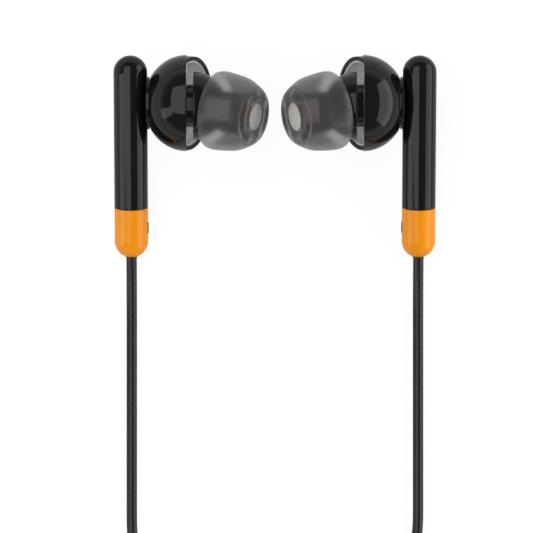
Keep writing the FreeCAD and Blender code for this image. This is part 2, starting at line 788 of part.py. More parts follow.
def main_cord():
    """Main cord outside the hank: from the splitter, and out to the plug."""
    wound = main_hank()
    start = cord_tube(main_start_route(), MAIN_D / 2).cut(wound).cut(leads_hank())
    tail = cord_tube(tail_route(), MAIN_D / 2).cut(wound)
    return Part.makeCompound(start.Solids + tail.Solids)


def splitter():
    """Moulded joint of the two leads and the main cord, lying beside the hank."""
    start = V(SPLITTER_X, SPLITTER_END_Y + SPLITTER_RELIEF, SPLITTER_Z)
    block = Part.makeBox(
        SPLITTER_WIDTH,
        SPLITTER_LENGTH - SPLITTER_RELIEF,
        SPLITTER_THICKNESS,
        start - V(SPLITTER_WIDTH / 2, 0, SPLITTER_Z),
    )
    long_edges = [e for e in block.Edges if abs(e.tangentAt(e.FirstParameter).y) > 0.9]
    block = block.makeFillet(1.3, long_edges)
    taper = Part.makeCone(SPLITTER_Z, MAIN_D / 2 + 0.25, SPLITTER_RELIEF, start, Y_AXIS * -1)
    return block.fuse(taper)


def tie_outline(gap):
    """Outline that the tie follows round the hank, a gap away from its turns."""
    corners = [
        (LEADS_SIDE_R + gap, HANK_Z - gap),
        (LEADS_SIDE_R + gap, MAIN_HANK_Z),
        (MAIN_SIDE_R + gap, HANK_TOP_Z + gap),
    ]
    right = [V(HANK_X + x, TIE_Y + TIE_WIDTH / 2, z) for x, z in corners]
    left = [V(HANK_X - x, TIE_Y + TIE_WIDTH / 2, z) for x, z in reversed(corners)]
    return Part.Face(Part.makePolygon(right + left + right[:1]))


def tie():
    """Flat tie round the hank, its ends twisted together on top."""
    depth = Y_AXIS * -TIE_WIDTH
    outer = tie_outline(TIE_THICKNESS).extrude(depth)
    edges = [e for e in outer.Edges if abs(e.tangentAt(e.FirstParameter).y) > 0.9]
    outer = outer.makeFillet(0.45, edges)
    band = outer.cut(tie_outline(0).extrude(depth))
    start = V(HANK_X, TIE_Y, HANK_TOP_Z + TIE_THICKNESS + TWIST_R * 0.7)
    return band.fuse(rod(TWIST_R, start, start + X_AXIS * TWIST_LENGTH))


# ---- plug -----------------------------------------------------------------------------------
RING_GAP = 0.6
SLEEVE_END = 8.0
RING_END = 10.4
TIP_NECK_R = 1.1


PLUG_DIR = V(0, -1, 0)


def plug_point(distance):
    """Point on the plug's axis, counted from the start of the grip."""
    return V(PLUG_X, PLUG_START_Y, GRIP_R) + PLUG_DIR * distance


def plug_grip():
    """Moulded grip with finger grooves and a tapered strain relief."""
    groove = 0.35
    outline = [(-RELIEF_LENGTH, 0), (-RELIEF_LENGTH, MAIN_D / 2 + 0.35), (-0.6, GRIP_R - 1.0)]
    outline += [(0, GRIP_R - 0.3), (0.6, GRIP_R)]
    for i in range(4):
        start = 3.0 + i * 1.6
        outline += [(start, GRIP_R), ((start + 0.4, GRIP_R - groove), (start + 0.8, GRIP_R))]
    outline += [(GRIP_LENGTH - 0.8, GRIP_R), (GRIP_LENGTH, GRIP_R - 0.6), (GRIP_LENGTH, 0)]
    grip = turned(outline, plug_point(0), PLUG_DIR)
    return grip.cut(rod(1.2, plug_point(GRIP_LENGTH - 8), plug_point(GRIP_LENGTH + 1)))


def plug_sleeve():
    """Metal barrel with its shoulder, and a shank that the grip is moulded round."""
    base = GRIP_LENGTH
    shoulder = 0.6
    return turned(
        [
            (base - 6, 0.9),
            (base - 6, 1.2),
            (base, 1.2),
            (base, PLUG_R + 0.45),
            (base + shoulder, PLUG_R + 0.45),
            (base + shoulder, PLUG_R),
            (base + SLEEVE_END, PLUG_R),
            (base + SLEEVE_END, 0.9),
        ],
        plug_point(0),
        PLUG_DIR,
    )


def insulator(start):
    """Thin plastic ring between two contacts."""
    return tube(PLUG_R, 0.9, plug_point(start), plug_point(start + RING_GAP))


def plug_insulators():
    """The two insulating rings."""
    return Part.makeCompound([insulator(GRIP_LENGTH + SLEEVE_END), insulator(GRIP_LENGTH + RING_END)])


def plug_ring():
    """Middle contact."""
    start = GRIP_LENGTH + SLEEVE_END + RING_GAP
    return tube(PLUG_R, 0.9, plug_point(start), plug_point(GRIP_LENGTH + RING_END))


def plug_tip():
    """Tip contact with its waist and rounded nose, on the rod that runs back through the others."""
    start = GRIP_LENGTH + RING_END + RING_GAP
    end = GRIP_LENGTH + PLUG_METAL_LENGTH
    return turned(
        [
            (GRIP_LENGTH - 5, 0),
            (GRIP_LENGTH - 5, 0.9 - SLIP),
            (start, 0.9 - SLIP),
            (start, PLUG_R),
            (start + 0.3, PLUG_R),
            (start + 0.9, TIP_NECK_R),
            (start + 1.5, PLUG_R - 0.15),
            ((end - 0.5, PLUG_R - 0.75), (end, 0.35)),
            (end, 0),
        ],
        plug_point(0),
        PLUG_DIR,
    )


# ---- assembly -------------------------------------------------------------------------------
EARPIECE = {
    "stem_shell": stem_shell,
    "stem_cap": stem_cap,
    "cord_grommet": cord_grommet,
    "cord_stop": cord_stop,
    "inner_lead": inner_lead,
    "hookup_wires": hookup_wires,
    "neck_collar": neck_collar,
    "rear_housing": rear_housing,
    "hood": hood,
    "liner": liner,
    "driver_pod": driver_pod,
    "nozzle_ring": nozzle_ring,
    "nozzle_mesh": nozzle_mesh,
    "nozzle_foam": nozzle_foam,
    "ear_tip": ear_tip,
    "driver_frame": driver_frame,
    "magnet_pot": magnet_pot,
    "magnet": magnet,
    "pole_plate": pole_plate,
    "voice_coil": voice_coil,
    "diaphragm": diaphragm,
    "terminal_board": terminal_board,
}
CORDS = {
    "left_lead": left_lead,
    "right_lead": right_lead,
    "leads_hank": leads_hank,
    "splitter": splitter,
    "main_cord": main_cord,
    "main_hank": main_hank,
    "tie": tie,
    "plug_grip": plug_grip,
    "plug_sleeve": plug_sleeve,
    "plug_insulators": plug_insulators,
    "plug_ring": plug_ring,
    "plug_tip": plug_tip,
}


def mirrored(shape):
    """The right earpiece's copy of a left earpiece's placed shape."""
    return shape.mirror(V(0, 0, 0), X_AXIS)


def save(name, shape):
    """Writes one node, after a check that it is sound."""
    if not shape.isValid() or shape.Volume <= 0:
        print("UNSOUND", name, shape.isValid(), shape.Volume)
    shape.exportStep(os.path.join("parts", name + ".step"))


def main():
    """Builds every node and writes it to the parts folder."""
    os.makedirs("parts", exist_ok=True)
    for name, make in EARPIECE.items():
        left = place(make())
        save("left_" + name, left)
        save("right_" + name, mirrored(left))
    save("left_side_mark", place(left_mark()))
    save("right_side_mark", mirrored(place(right_mark())))
    for name, make in CORDS.items():
        save(name, make())


main()
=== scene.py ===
"""Wired earphones on a table: fine surfaces, finishes, cords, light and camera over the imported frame.

All lengths are in metres. An earpiece is worked out in a frame of its own: x from the stem's axis towards
the ball, y up the stem, z away from the table, with the origin on the stem's axis level with the ball's
centre. The right earpiece is the left one mirrored in x. Every surface is a grid of points, rows by
columns, worked out as whole arrays.
"""

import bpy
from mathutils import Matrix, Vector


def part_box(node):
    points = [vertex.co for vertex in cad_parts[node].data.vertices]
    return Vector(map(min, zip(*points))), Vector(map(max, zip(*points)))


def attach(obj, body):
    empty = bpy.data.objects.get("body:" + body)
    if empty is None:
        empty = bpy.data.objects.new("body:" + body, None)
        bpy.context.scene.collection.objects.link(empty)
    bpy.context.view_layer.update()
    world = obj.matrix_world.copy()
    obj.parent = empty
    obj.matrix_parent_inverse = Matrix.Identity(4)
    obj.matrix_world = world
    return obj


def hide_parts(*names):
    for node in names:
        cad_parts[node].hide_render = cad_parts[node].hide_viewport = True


bl_info = {
    "name": "Wired Earphones",
    "version": (1, 0, 0),
    "blender": (4, 5, 0),
    "location": "View3D > Sidebar > Earphones",
    "description": "Builds the surfaces, finishes, cords, light and camera of a pair of wired earphones",
    "category": "Add Mesh",
}

import math

import bmesh
import bpy
import numpy as np
from bpy.props import FloatProperty, FloatVectorProperty, IntProperty, PointerProperty

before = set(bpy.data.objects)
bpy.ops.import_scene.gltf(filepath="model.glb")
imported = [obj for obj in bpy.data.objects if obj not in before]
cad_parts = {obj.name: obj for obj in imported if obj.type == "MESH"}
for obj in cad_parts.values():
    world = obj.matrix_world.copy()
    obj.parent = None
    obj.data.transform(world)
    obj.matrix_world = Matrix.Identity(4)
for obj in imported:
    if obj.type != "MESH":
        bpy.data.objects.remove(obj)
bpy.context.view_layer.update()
MM = 0.001
SIDES = ("left", "right")


# ---- what the frame says ----------------------------------------------------------------------
def corners(node):
    """Lowest and highest corner of a CAD node, as arrays."""
    low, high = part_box(node)
    return np.array(low), np.array(high)


def middle(node):
    """Centre of a CAD node's box."""
    return sum(corners(node)) / 2


def extent(node):
    """Lengths of a CAD node's box along X, Y and Z."""
    low, high = corners(node)
    return high - low


STEM_X = middle("left_stem_shell")[0]
STEM_R = extent("left_stem_shell")[0] / 2
BALL_R = extent("left_rear_housing")[2] / 2
BALL_Y, BALL_Z = middle("left_rear_housing")[1:]
BALL_X = corners("left_rear_housing")[1][0] - STEM_X
CAP_REACH = BALL_Y - corners("left_stem_cap")[0][1] - STEM_R
LEAN = math.atan2(BALL_R - STEM_R, CAP_REACH)
STEM_LENGTH = math.hypot(BALL_R - STEM_R, CAP_REACH)
PLUG_X, _, PLUG_Z = middle("plug_sleeve")
PLUG_END_Y = corners("plug_tip")[0][1]
TIE_Y = middle("tie")[1]
TIE_WIDTH = extent("tie")[1]
SPLITTER = corners("splitter")


# ---- sizes and colours a user may change -------------------------------------------------------
def length(name, description, default):
    """A length property, whose default is given in millimetres."""
    options = {"subtype": "DISTANCE", "unit": "LENGTH", "precision": 5}
    return FloatProperty(name=name, description=description, default=default * MM, **options)


def degrees(name, description, default):
    """An angle property, whose default is given in degrees."""
    return FloatProperty(name=name, description=description, default=math.radians(default), subtype="ANGLE")


def colour(name, description, default):
    """A linear colour property."""
    options = {"subtype": "COLOR", "size": 3, "min": 0.0, "max": 1.0}
    return FloatVectorProperty(name=name, description=description, default=default, **options)


def number(name, description, default, most=10.0):
    """A plain number property that isn't negative."""
    return FloatProperty(name=name, description=description, default=default, min=0.0, max=most)


class EarpieceSizes(bpy.types.PropertyGroup):
    """Sizes of the stem, the ball-shaped housing and the driver's pod."""

    stem_wall: length("Stem wall", "Wall of the stem's tube", 0.6)
    stem_dome: length("Stem dome", "Height of the top dome's centre above the ball's centre", 5.0)
    seam: length("Seam", "Distance of the black and orange seam below the ball's centre", 17.0)
    seam_round: length("Seam rounding", "Rounding of the two edges at the seam", 0.07)
    cap_wall: length("Cap wall", "Wall of the orange cap", 0.7)
    grommet_wall: length("Grommet wall", "Wall of the rubber sleeve round the lead", 0.15)
    ball_depth: length("Ball depth", "Depth of the ball's stem side, along x", 6.9)
    ball_wall: length("Ball wall", "Wall of the rear housing", 0.8)
    collar_radius: length("Collar radius", "Radius of the collar between the stem and the ball", 4.2)
    collar_bite: length("Collar bite", "How far the collar reaches round the stem", 0.15)
    hood_step: length("Hood step", "How far the hood stands below the ball's surface", 0.15)
    hood_wall: length("Hood wall", "Wall of the hood", 0.6)
    hood_face: length("Hood face", "Distance of the hood's rim from the ball's centre", 0.8)
    liner_wall: length("Liner wall", "Wall of the bright liner", 0.35)
    liner_recess: length("Liner recess", "How far the liner stands back from the hood's rim", 0.3)
    baffle: length("Baffle", "Thickness of the liner's disc behind the driver", 0.4)


class PodSizes(bpy.types.PropertyGroup):
    """Sizes of the driver's pod, its nozzle and the ear tip."""

    angle: degrees("Nozzle angle", "Turn of the nozzle away from the table", 26.6)
    droop: degrees("Nozzle droop", "Turn of the nozzle towards the stem's foot", 4.5)
    offset_x: length("Pod offset", "Distance of the pod's centre from the stem's axis", 10.1)
    offset_z: length("Pod rise", "Height of the pod's centre above the ball's centre", 2.25)
    radius: length("Pod radius", "Radius of the pod's dome", 5.44)
    wall: length("Pod wall", "Wall of the pod", 0.7)
    neck_radius: length("Neck radius", "Radius of the neck that goes into the ball", 3.4)
    neck_wall: length("Neck wall", "Wall of that neck", 0.5)
    nozzle_radius: length("Nozzle radius", "Outer radius of the nozzle", 2.6)
    bore_radius: length("Bore radius", "Radius of the nozzle's sound channel", 1.75)
    nozzle_neck: length("Nozzle neck", "Length of the nozzle between the dome and the ring", 2.56)
    ring_depth: length("Ring depth", "Depth of the step that the ring sits in", 0.2)
    ring_length: length("Ring length", "Length of the orange ring", 3.0)
    barb: length("Barb", "Height of the ring's barb", 0.2)
    tip_radius: length("Tip radius", "Largest radius of the ear tip", 6.3)
    tip_length: length("Tip length", "Length of the ear tip's skirt", 7.75)
    tip_overhang: length("Tip overhang", "How far the ear tip reaches past the nozzle", 0.6)
    tip_mouth: length("Tip mouth", "Radius of the ear tip's front rim", 4.3)
    tip_skin: length("Tip skin", "Thickness of the ear tip's skirt", 0.5)
    tip_core: length("Tip core", "Wall of the ear tip's core tube", 0.6)
    tip_clearance: length("Tip clearance", "Gap between the ear tip and the nozzle", 0.05)
    mesh_wire: length("Mesh wire", "Diameter of the nozzle mesh's wire", 0.085)
    mesh_pitch: length("Mesh pitch", "Distance between the nozzle mesh's wires", 0.2)


class CordSizes(bpy.types.PropertyGroup):
    """Sizes of the cords, their hank, the splitter, the tie and the plug."""

    lead_diameter: length("Lead diameter", "Diameter of the two leads", 1.7)
    main_diameter: length("Main diameter", "Diameter of the main cord", 2.0)
    hank_x: length("Hank X", "Place of the hank's middle", 10.0)
    hank_y: length("Hank Y", "Place of the hank's middle", -107.0)
    half_run: length("Half run", "Half the length of the hank's straight runs", 15.0)
    base: length("Hank base", "Height of the hank's underside, on the tie", 0.5)
    leads_out: length("Leads outside", "Outermost radius of the leads' turns", 10.8)
    main_out: length("Main outside", "Outermost radius of the main cord's turns", 9.66)
    main_in: length("Main inside", "Innermost radius of the main cord's turns", 6.0)
    tie_thickness: length("Tie thickness", "Thickness of the tie's ribbon", 0.5)
    twist_radius: length("Twist radius", "Radius of the tie's twisted ends", 0.8)
    relief_length: length("Relief length", "Length of the splitter's ribbed relief", 4.5)
    plug_radius: length("Plug radius", "Radius of the plug's contacts", 1.75)
    grip_radius: length("Grip radius", "Radius of the plug's grip", 3.0)
    grip_length: length("Grip length", "Length of the plug's grip", 16.0)
    plug_relief: length("Plug relief", "Length of the plug's strain relief", 6.5)


class FinishColours(bpy.types.PropertyGroup):
    """Colours of the finishes."""

    black: colour("Black", "Gloss black plastic", (0.0052, 0.0052, 0.0056))
    orange: colour("Orange", "Gloss orange plastic", (1.0, 0.325, 0.004))
    silver: colour("Silver", "Satin silver liner", (1.0, 1.0, 1.0))
    smoke: colour("Smoke", "Smoke-grey silicone", (0.36, 0.36, 0.365))
    jacket: colour("Jacket", "Black cord jacket", (0.008, 0.008, 0.009))
    rubber: colour("Rubber", "Soft black rubber", (0.018, 0.018, 0.019))


class StageSettings(bpy.types.PropertyGroup):
    """Camera and light."""

    lens: number("Lens", "Focal length of the camera in mm", 300.0, 1000.0)
    view_width: length("View width", "Width of table that the camera sees at the ball's height", 85.28)
    view_x: length("View X", "Point that the camera looks down on", -1.36)
    view_y: length("View Y", "Point that the camera looks down on", -17.63)
    light: number("Light", "Brightness of the soft boxes", 1.8)
    sky: number("Sky", "Brightness of the room overhead", 0.2)
    horizon: number("Horizon", "Brightness of the room all round", 0.9)
    segments: IntProperty(name="Segments", description="Segments round a turned surface", default=96, min=16)


def earpiece():
    """The earpiece's sizes."""
    return bpy.context.scene.earphone_sizes


def pod():
    """The pod's sizes."""
    return bpy.context.scene.earphone_pod


def cords():
    """The cords' sizes."""
    return bpy.context.scene.earphone_cords


def colours():
    """The finishes' colours."""
    return bpy.context.scene.earphone_colours


def stage():
    """The stage's settings."""
    return bpy.context.scene.earphone_stage


# ---- outlines and grids --------------------------------------------------------------------------
SUPPORT = 0.06 * MM  # from a long side's end to the extra point that keeps its shading flat
SHARP, FINE, SOFT, ROUND = 0.02 * MM, 0.05 * MM, 0.1 * MM, 0.15 * MM  # roundings of an outline's corners
MERGE = 0.0002 * MM  # points closer than this are one


def circle(count):
    """Angles evenly round a circle, without the last, which is the first again."""
    return np.linspace(0, 2 * math.pi, count, endpoint=False)


def unit(vector):
    """The vector divided by its length."""
    return vector / np.linalg.norm(vector)


def fillet(before, corner, after, radius, steps):
    """Arc tangent to a corner's two sides. Its centre is on the bisector, radius / sin(half angle) from
    the corner, and its points turn evenly from one tangent point to the other."""
    ahead, behind = unit(after - corner), unit(before - corner)
    half = math.acos(float(np.clip(ahead @ behind, -0.9999, 0.9999))) / 2
    if radius <= 0:
        return corner[None]
    centre = corner + unit(ahead + behind) * radius / math.sin(half)
    start = corner + behind * radius / math.tan(half) - centre
    end = corner + ahead * radius / math.tan(half) - centre
    turn = math.pi - 2 * half
    share = np.linspace(0, 1, steps + 1)[:, None]
    return centre + (np.sin((1 - share) * turn) * start + np.sin(share * turn) * end) / math.sin(turn)


def outline(*parts, closed=True, steps=5):
    """Outline as (along, across) points. A part is a corner (along, across, rounding), or an array of
    points kept as they are. Long straight sides get a point near each end, which keeps their shading flat."""
    firsts = [np.array(p[:2], float) if isinstance(p, tuple) else p[0] for p in parts]
    lasts = [np.array(p[:2], float) if isinstance(p, tuple) else p[-1] for p in parts]
    last = len(parts) - 1
    pieces = []
    for i, part in enumerate(parts):
        if not isinstance(part, tuple):
            pieces.append(part)
        elif not closed and i in (0, last):
            pieces.append(firsts[i][None])
        else:
            pieces.append(fillet(lasts[i - 1], firsts[i], firsts[(i + 1) % len(parts)], part[2], steps))
    joined = []
    for i, piece in enumerate(pieces):
        joined.append(piece)
        if i == last and not closed:
            break
        start, end = piece[-1], pieces[(i + 1) % len(pieces)][0]
        gap = np.linalg.norm(end - start)
        if gap > 4 * SUPPORT:
            joined.append(start + (end - start) * np.array([[SUPPORT / gap], [1 - SUPPORT / gap]]))
    return np.concatenate(joined)


def arc(centre, radii, start, end, count=24):
    """Points of an ellipse: centre plus (radius along * cos, radius across * sin), from start to end, in
    degrees."""
    angle = np.radians(np.linspace(start, end, count))
    return np.stack([centre[0] + radii[0] * np.cos(angle), centre[1] + radii[1] * np.sin(angle)], 1)


def smooth_line(points, count):
    """Catmull-Rom curve through points: each span is the cubic that leaves and arrives along the chords of
    its neighbours, with the line's ends repeated by reflection."""
    points = np.array(points, float)
    padded = np.concatenate([[2 * points[0] - points[1]], points, [2 * points[-1] - points[-2]]])
    at = np.linspace(0, len(points) - 1 - 1e-9, count)
    i = at.astype(int)
    t = (at - i)[:, None]
    a, b, c, d = (padded[i + k] for k in range(4))
    return 0.5 * (2 * b + (c - a) * t + (2 * a - 5 * b + 4 * c - d) * t**2 + (3 * b - a - 3 * c + d) * t**3)


def closed_ends(count):
    """Share of a tube's thickness in each of its rows: all of it, but next to none at the two ends."""
    share = np.ones((count, 1))
    share[[0, -1]] = 0.01
    return share


def lathe(profile, segments=None):
    """Surface turned about x: (along, radius * cos(angle), radius * sin(angle)), rows by columns."""
    angle = circle(segments or stage().segments)
    along, radius = profile[:, :1], profile[:, 1:]
    return np.stack([along + 0 * angle, radius * np.cos(angle), radius * np.sin(angle)], -1)


def aim(grid, origin, direction, up=(0, 0, 1)):
    """Moves a grid so that its x axis points along direction from origin, and z stays towards up."""
    x = unit(np.array(direction, float))
    y = unit(np.cross(up, x))
    return np.array(origin) + grid @ np.stack([x, y, np.cross(x, y)])


def to_table(points, side="left"):
    """Lays an earpiece's points on the table: a turn by the lean about x, then a move, then for the right
    earpiece a mirror in x."""
    x, y, z = np.moveaxis(np.asarray(points, float), -1, 0)
    cos, sin = math.cos(LEAN), math.sin(LEAN)
    placed = np.stack([STEM_X + x, BALL_Y + y * cos - z * sin, BALL_Z + y * sin + z * cos], -1)
    return placed if side == "left" else placed * (-1, 1, 1)


def grid_quads(rows, columns, wrap_rows, first=0):
    """Quads between neighbouring rows and columns. Columns close on themselves, and rows too if asked."""
    row = np.arange(rows if wrap_rows else rows - 1)[:, None]
    column = np.arange(columns)[None]
    below, right = (row + 1) % rows, (column + 1) % columns
    here, under = row * columns, below * columns
    quads = np.stack([here + column, here + right, under + right, under + column], -1)
    return quads.reshape(-1, 4) + first


def add_piece(name, grids, finish, node, body="set"):
    """Makes one mesh from grids (points, wrap rows) in place of a CAD node, merges its poles, turns its
    faces outwards and fastens it to its body."""
    points = np.concatenate([grid.reshape(-1, 3) for grid, _ in grids])
    starts = np.cumsum([0] + [grid.shape[0] * grid.shape[1] for grid, _ in grids])
    counted = zip(grids, starts)
    quads = np.concatenate([grid_quads(*grid.shape[:2], wrap, start) for (grid, wrap), start in counted])
    mesh = bpy.data.meshes.new(name)
    mesh.from_pydata(points.tolist(), [], quads.tolist())
    work = bmesh.new()
    work.from_mesh(mesh)
    bmesh.ops.remove_doubles(work, verts=work.verts, dist=MERGE)
    bmesh.ops.dissolve_degenerate(work, edges=work.edges, dist=MERGE)
    loose = [v for v in work.verts if not v.link_faces]
    bmesh.ops.delete(work, geom=loose, context="VERTS")
    bmesh.ops.recalc_face_normals(work, faces=work.faces)
    work.to_mesh(mesh)
    work.free()
    mesh.shade_smooth()
    piece = bpy.data.objects.new(name, mesh)
    bpy.context.scene.collection.objects.link(piece)
    mesh.materials.append(bpy.data.materials[finish])
    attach(piece, body)
    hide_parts(node)


def add_pair(name, grids, finish, node, body="set"):
    """Makes a piece on each earpiece from grids in the earpiece's own frame."""
    for side in SIDES:
        placed = [(to_table(grid, side), wrap) for grid, wrap in grids]
        where = body if body == "set" else f"{side}_{body}"
        add_piece(f"{side}_{name}", placed, finish, f"{side}_{node}", where)


# ---- finishes -------------------------------------------------------------------------------------
class Tree:
    """Short ways to add nodes to a tree and join them. Each but add gives the new node's result."""

    def __init__(self, tree):
        self.tree = tree

    def add(self, kind, settings=None, **inputs):
        """Adds a node. Inputs are values or sockets, by the input's name with _ for a space."""
        node = self.tree.nodes.new(kind)
        for key, value in (settings or {}).items():
            setattr(node, key, value)
        for key, value in inputs.items():
            self.join(value, node.inputs[key.replace("_", " ")])
        return node

    def join(self, value, socket):
        """Links a socket to another, or sets its value."""
        if isinstance(value, bpy.types.NodeSocket):
            self.tree.links.new(value, socket)
        else:
            socket.default_value = value

    def fill(self, node, values, first=0):
        """Gives values to a node's inputs in order, from the first one counted."""
        for value, socket in zip(values, node.inputs[first:]):
            self.join(value, socket)
        return node

    def place(self):
        """The point itself, in the object's coordinates."""
        return self.add("ShaderNodeTexCoord").outputs["Object"]

    def noise(self, place, scale, detail, roughness=0.5):
        """Noise with so many cells a metre."""
        node = self.add("ShaderNodeTexNoise", Vector=place, Scale=scale, Detail=detail, Roughness=roughness)
        return node.outputs["Fac"]

    def math(self, operation, *values):
        """Arithmetic on one or two values."""
        return self.fill(self.add("ShaderNodeMath", {"operation": operation}), values).outputs[0]

    def span(self, value, *limits):
        """A value's range, given by its low and high end, held and mapped onto another such range."""
        return self.fill(self.add("ShaderNodeMapRange", Value=value), limits, 1).outputs[0]

    def mix(self, share, first, second):
        """Colour between two colours."""
        node = self.add("ShaderNodeMix", {"data_type": "RGBA"}, Factor=share)
        return self.fill(node, (first, second), 6).outputs[2]

    def group(self, name, **inputs):
        """One of the shared effects, as a node."""
        return self.add("ShaderNodeGroup", {"node_tree": bpy.data.node_groups[name]}, **inputs)


def new_group(name, inputs, outputs):
    """Empty shader group with named number inputs and outputs."""
    tree = bpy.data.node_groups.new(name, "ShaderNodeTree")
    for label, default in inputs.items():
        socket = tree.interface.new_socket(label, in_out="INPUT", socket_type="NodeSocketFloat")
        socket.default_value = default
    for label in outputs:
        tree.interface.new_socket(label, in_out="OUTPUT", socket_type="NodeSocketFloat")
    build = Tree(tree)
    return build, build.add("NodeGroupInput").outputs, build.add("NodeGroupOutput").inputs


def keep_patches(build, given, out, mask, patches):
    """Keeps a group's mask only where broad noise is high, times the group's amount."""
    patchy = build.math("MULTIPLY", mask, patches)
    build.join(build.math("MULTIPLY", patchy, given["Amount"]), out["Mask"])


def make_grain():
    """Moulded grain: fine noise as height, and a roughness that rises where fine and broad noise are high."""
    inputs = {"Scale": 3000.0, "Roughness": 0.3, "Spread": 0.1}
    build, given, out = new_group("Moulded Grain", inputs, ["Roughness", "Height"])
    place = build.place()
    fine = build.noise(place, given["Scale"], 5.0, 0.6)
    both = build.math("MULTIPLY", fine, build.noise(place, 260.0, 3.0))
    rough = build.math("ADD", build.math("MULTIPLY", both, given["Spread"]), given["Roughness"])
    build.join(rough, out["Roughness"])
    build.join(fine, out["Height"])


def make_scratches():
    """Hairline scratches: the thin lines where a bent, drawn-out noise crosses its middle, in patches."""
    build, given, out = new_group("Fine Scratches", {"Scale": 900.0, "Amount": 0.5}, ["Mask"])
    place = build.place()
    bend = build.add("ShaderNodeTexNoise", Vector=place, Scale=150.0, Detail=2.0).outputs["Color"]
    moved = build.add("ShaderNodeVectorMath", {"operation": "SCALE"}, Vector=bend, Scale=0.002)
    bent = build.fill(build.add("ShaderNodeVectorMath"), (place, moved.outputs[0])).outputs[0]
    drawn = build.add("ShaderNodeMapping", Vector=bent, Rotation=(0.4, 0.7, 0.9), Scale=(1.0, 14.0, 1.0))
    lines = build.noise(drawn.outputs[0], given["Scale"], 1.0)
    away = build.math("ABSOLUTE", build.math("SUBTRACT", lines, 0.5))
    thin = build.span(away, 0.0, 0.012, 1.0, 0.0)
    keep_patches(build, given, out, thin, build.span(build.noise(place, 420.0, 2.0), 0.52, 0.66))


def make_dust():
    """Dust: small dots at the middles of random cells, in patches."""
    build, given, out = new_group("Dust Specks", {"Scale": 1500.0, "Amount": 0.3}, ["Mask"])
    place = build.place()
    cells = build.add("ShaderNodeTexVoronoi", Vector=place, Scale=given["Scale"])
    dots = build.span(cells.outputs["Distance"], 0.04, 0.09, 1.0, 0.0)
    keep_patches(build, given, out, dots, build.span(build.noise(place, 500.0, 2.0), 0.55, 0.7))


def new_finish(name, shown):
    """Empty material with a Principled shader; shown is its colour in the viewport."""
    material = bpy.data.materials.new(name)
    material.use_nodes = True
    material.diffuse_color = (*shown, 1.0)
    return Tree(material.node_tree), material.node_tree.nodes["Principled BSDF"]


def dress(build, shader, colour, roughness, height, strength, depth):
    """Joins a finish's colour, roughness and bump to its shader."""
    bump = build.add("ShaderNodeBump", Strength=strength, Distance=depth, Height=height)
    build.join(colour, shader.inputs["Base Color"])
    build.join(roughness, shader.inputs["Roughness"])
    build.join(bump.outputs[0], shader.inputs["Normal"])


def plastic(name, tint, roughness, spread, grain, depth, dust=0.0, scratches=0.0, specular=0.5):
    """Moulded plastic or rubber: a colour with slight drift, dust and hairline scratches, and grain."""
    build, shader = new_finish(name, tint)
    drift = build.noise(build.place(), 180.0, 3.0)
    lighter = [min(1.0, c * 1.06 + 0.0006) for c in tint]
    base = build.mix(drift, (*tint, 1.0), (*lighter, 1.0))
    dusty = build.mix(build.group("Dust Specks", Amount=dust).outputs["Mask"], base, DUST)
    surface = build.group("Moulded Grain", Scale=grain, Roughness=roughness, Spread=spread).outputs
    marks = build.group("Fine Scratches", Amount=scratches).outputs["Mask"]
    rough = build.math("ADD", surface["Roughness"], marks)
    dress(build, shader, dusty, rough, surface["Height"], 0.35, depth)
    shader.inputs["Specular IOR Level"].default_value = specular


def metal(name, tint, roughness, spread, grain, depth, metallic=1.0, stretch=(1.0, 1.0, 1.0)):
    """Metal with grain that can be drawn out along an axis, as turning or brushing leaves it."""
    build, shader = new_finish(name, tint)
    drawn = build.add("ShaderNodeMapping", Vector=build.place(), Scale=stretch)
    lines = build.noise(drawn.outputs[0], grain, 4.0, 0.7)
    darker = [c * 0.82 for c in tint]
    base = build.mix(lines, (*darker, 1.0), (*tint, 1.0))
    rough = build.span(lines, 0.0, 1.0, roughness - spread / 2, roughness + spread / 2)
    worn = build.math("ADD", rough, build.group("Fine Scratches", Amount=0.15).outputs["Mask"])
    dress(build, shader, base, worn, lines, 0.4, depth)
    shader.inputs["Metallic"].default_value = metallic


def silicone(name, tint):
    """Smoke-grey translucent silicone: most light goes through it, softened by its moulded skin."""
    build, shader = new_finish(name, tint)
    deeper = [c * 0.9 for c in tint]
    base = build.mix(build.noise(build.place(), 320.0, 3.0), (*deeper, 1.0), (*tint, 1.0))
    surface = build.group("Moulded Grain", Scale=2600.0, Roughness=0.22, Spread=0.06).outputs
    dress(build, shader, base, surface["Roughness"], surface["Height"], 0.2, 0.002 * MM)
    shader.inputs["Transmission Weight"].default_value = 0.9
    shader.inputs["IOR"].default_value = 1.41


DUST = (0.45, 0.44, 0.42, 1.0)
# Colour or its property, roughness and its spread, grain's cells a metre, bump's depth, dust, scratches and
# specular level
PLASTICS = {
    "Gloss Black Plastic": ("black", 0.04, 0.08, 5000.0, 0.002 * MM, 0.25, 0.10, 0.31),
    "Gloss Orange Plastic": ("orange", 0.09, 0.06, 4500.0, 0.001 * MM, 0.015, 0.03, 0.28),
    "Cord Jacket": ("jacket", 0.25, 0.08, 3800.0, 0.005 * MM, 0.12, 0.05, 0.38),
    "Soft Black Rubber": ("rubber", 0.48, 0.12, 5200.0, 0.01 * MM, 0.2, 0.06),
    "Tie Vinyl": ((0.02, 0.02, 0.021), 0.38, 0.2, 2600.0, 0.02 * MM, 0.3, 0.2),
    "Black Foam": ((0.03, 0.03, 0.03), 0.85, 0.1, 6000.0, 0.12 * MM),
    "Amber Film": ((0.45, 0.36, 0.16), 0.2, 0.1, 3000.0, 0.01 * MM),
    "Green Board": ((0.02, 0.16, 0.06), 0.35, 0.2, 3000.0, 0.01 * MM),
    "Dark Print": ((0.02, 0.018, 0.016), 0.4, 0.1, 4000.0, 0.01 * MM),
    "Insulator Black": ((0.015, 0.015, 0.015), 0.3, 0.1, 4000.0, 0.01 * MM),
}
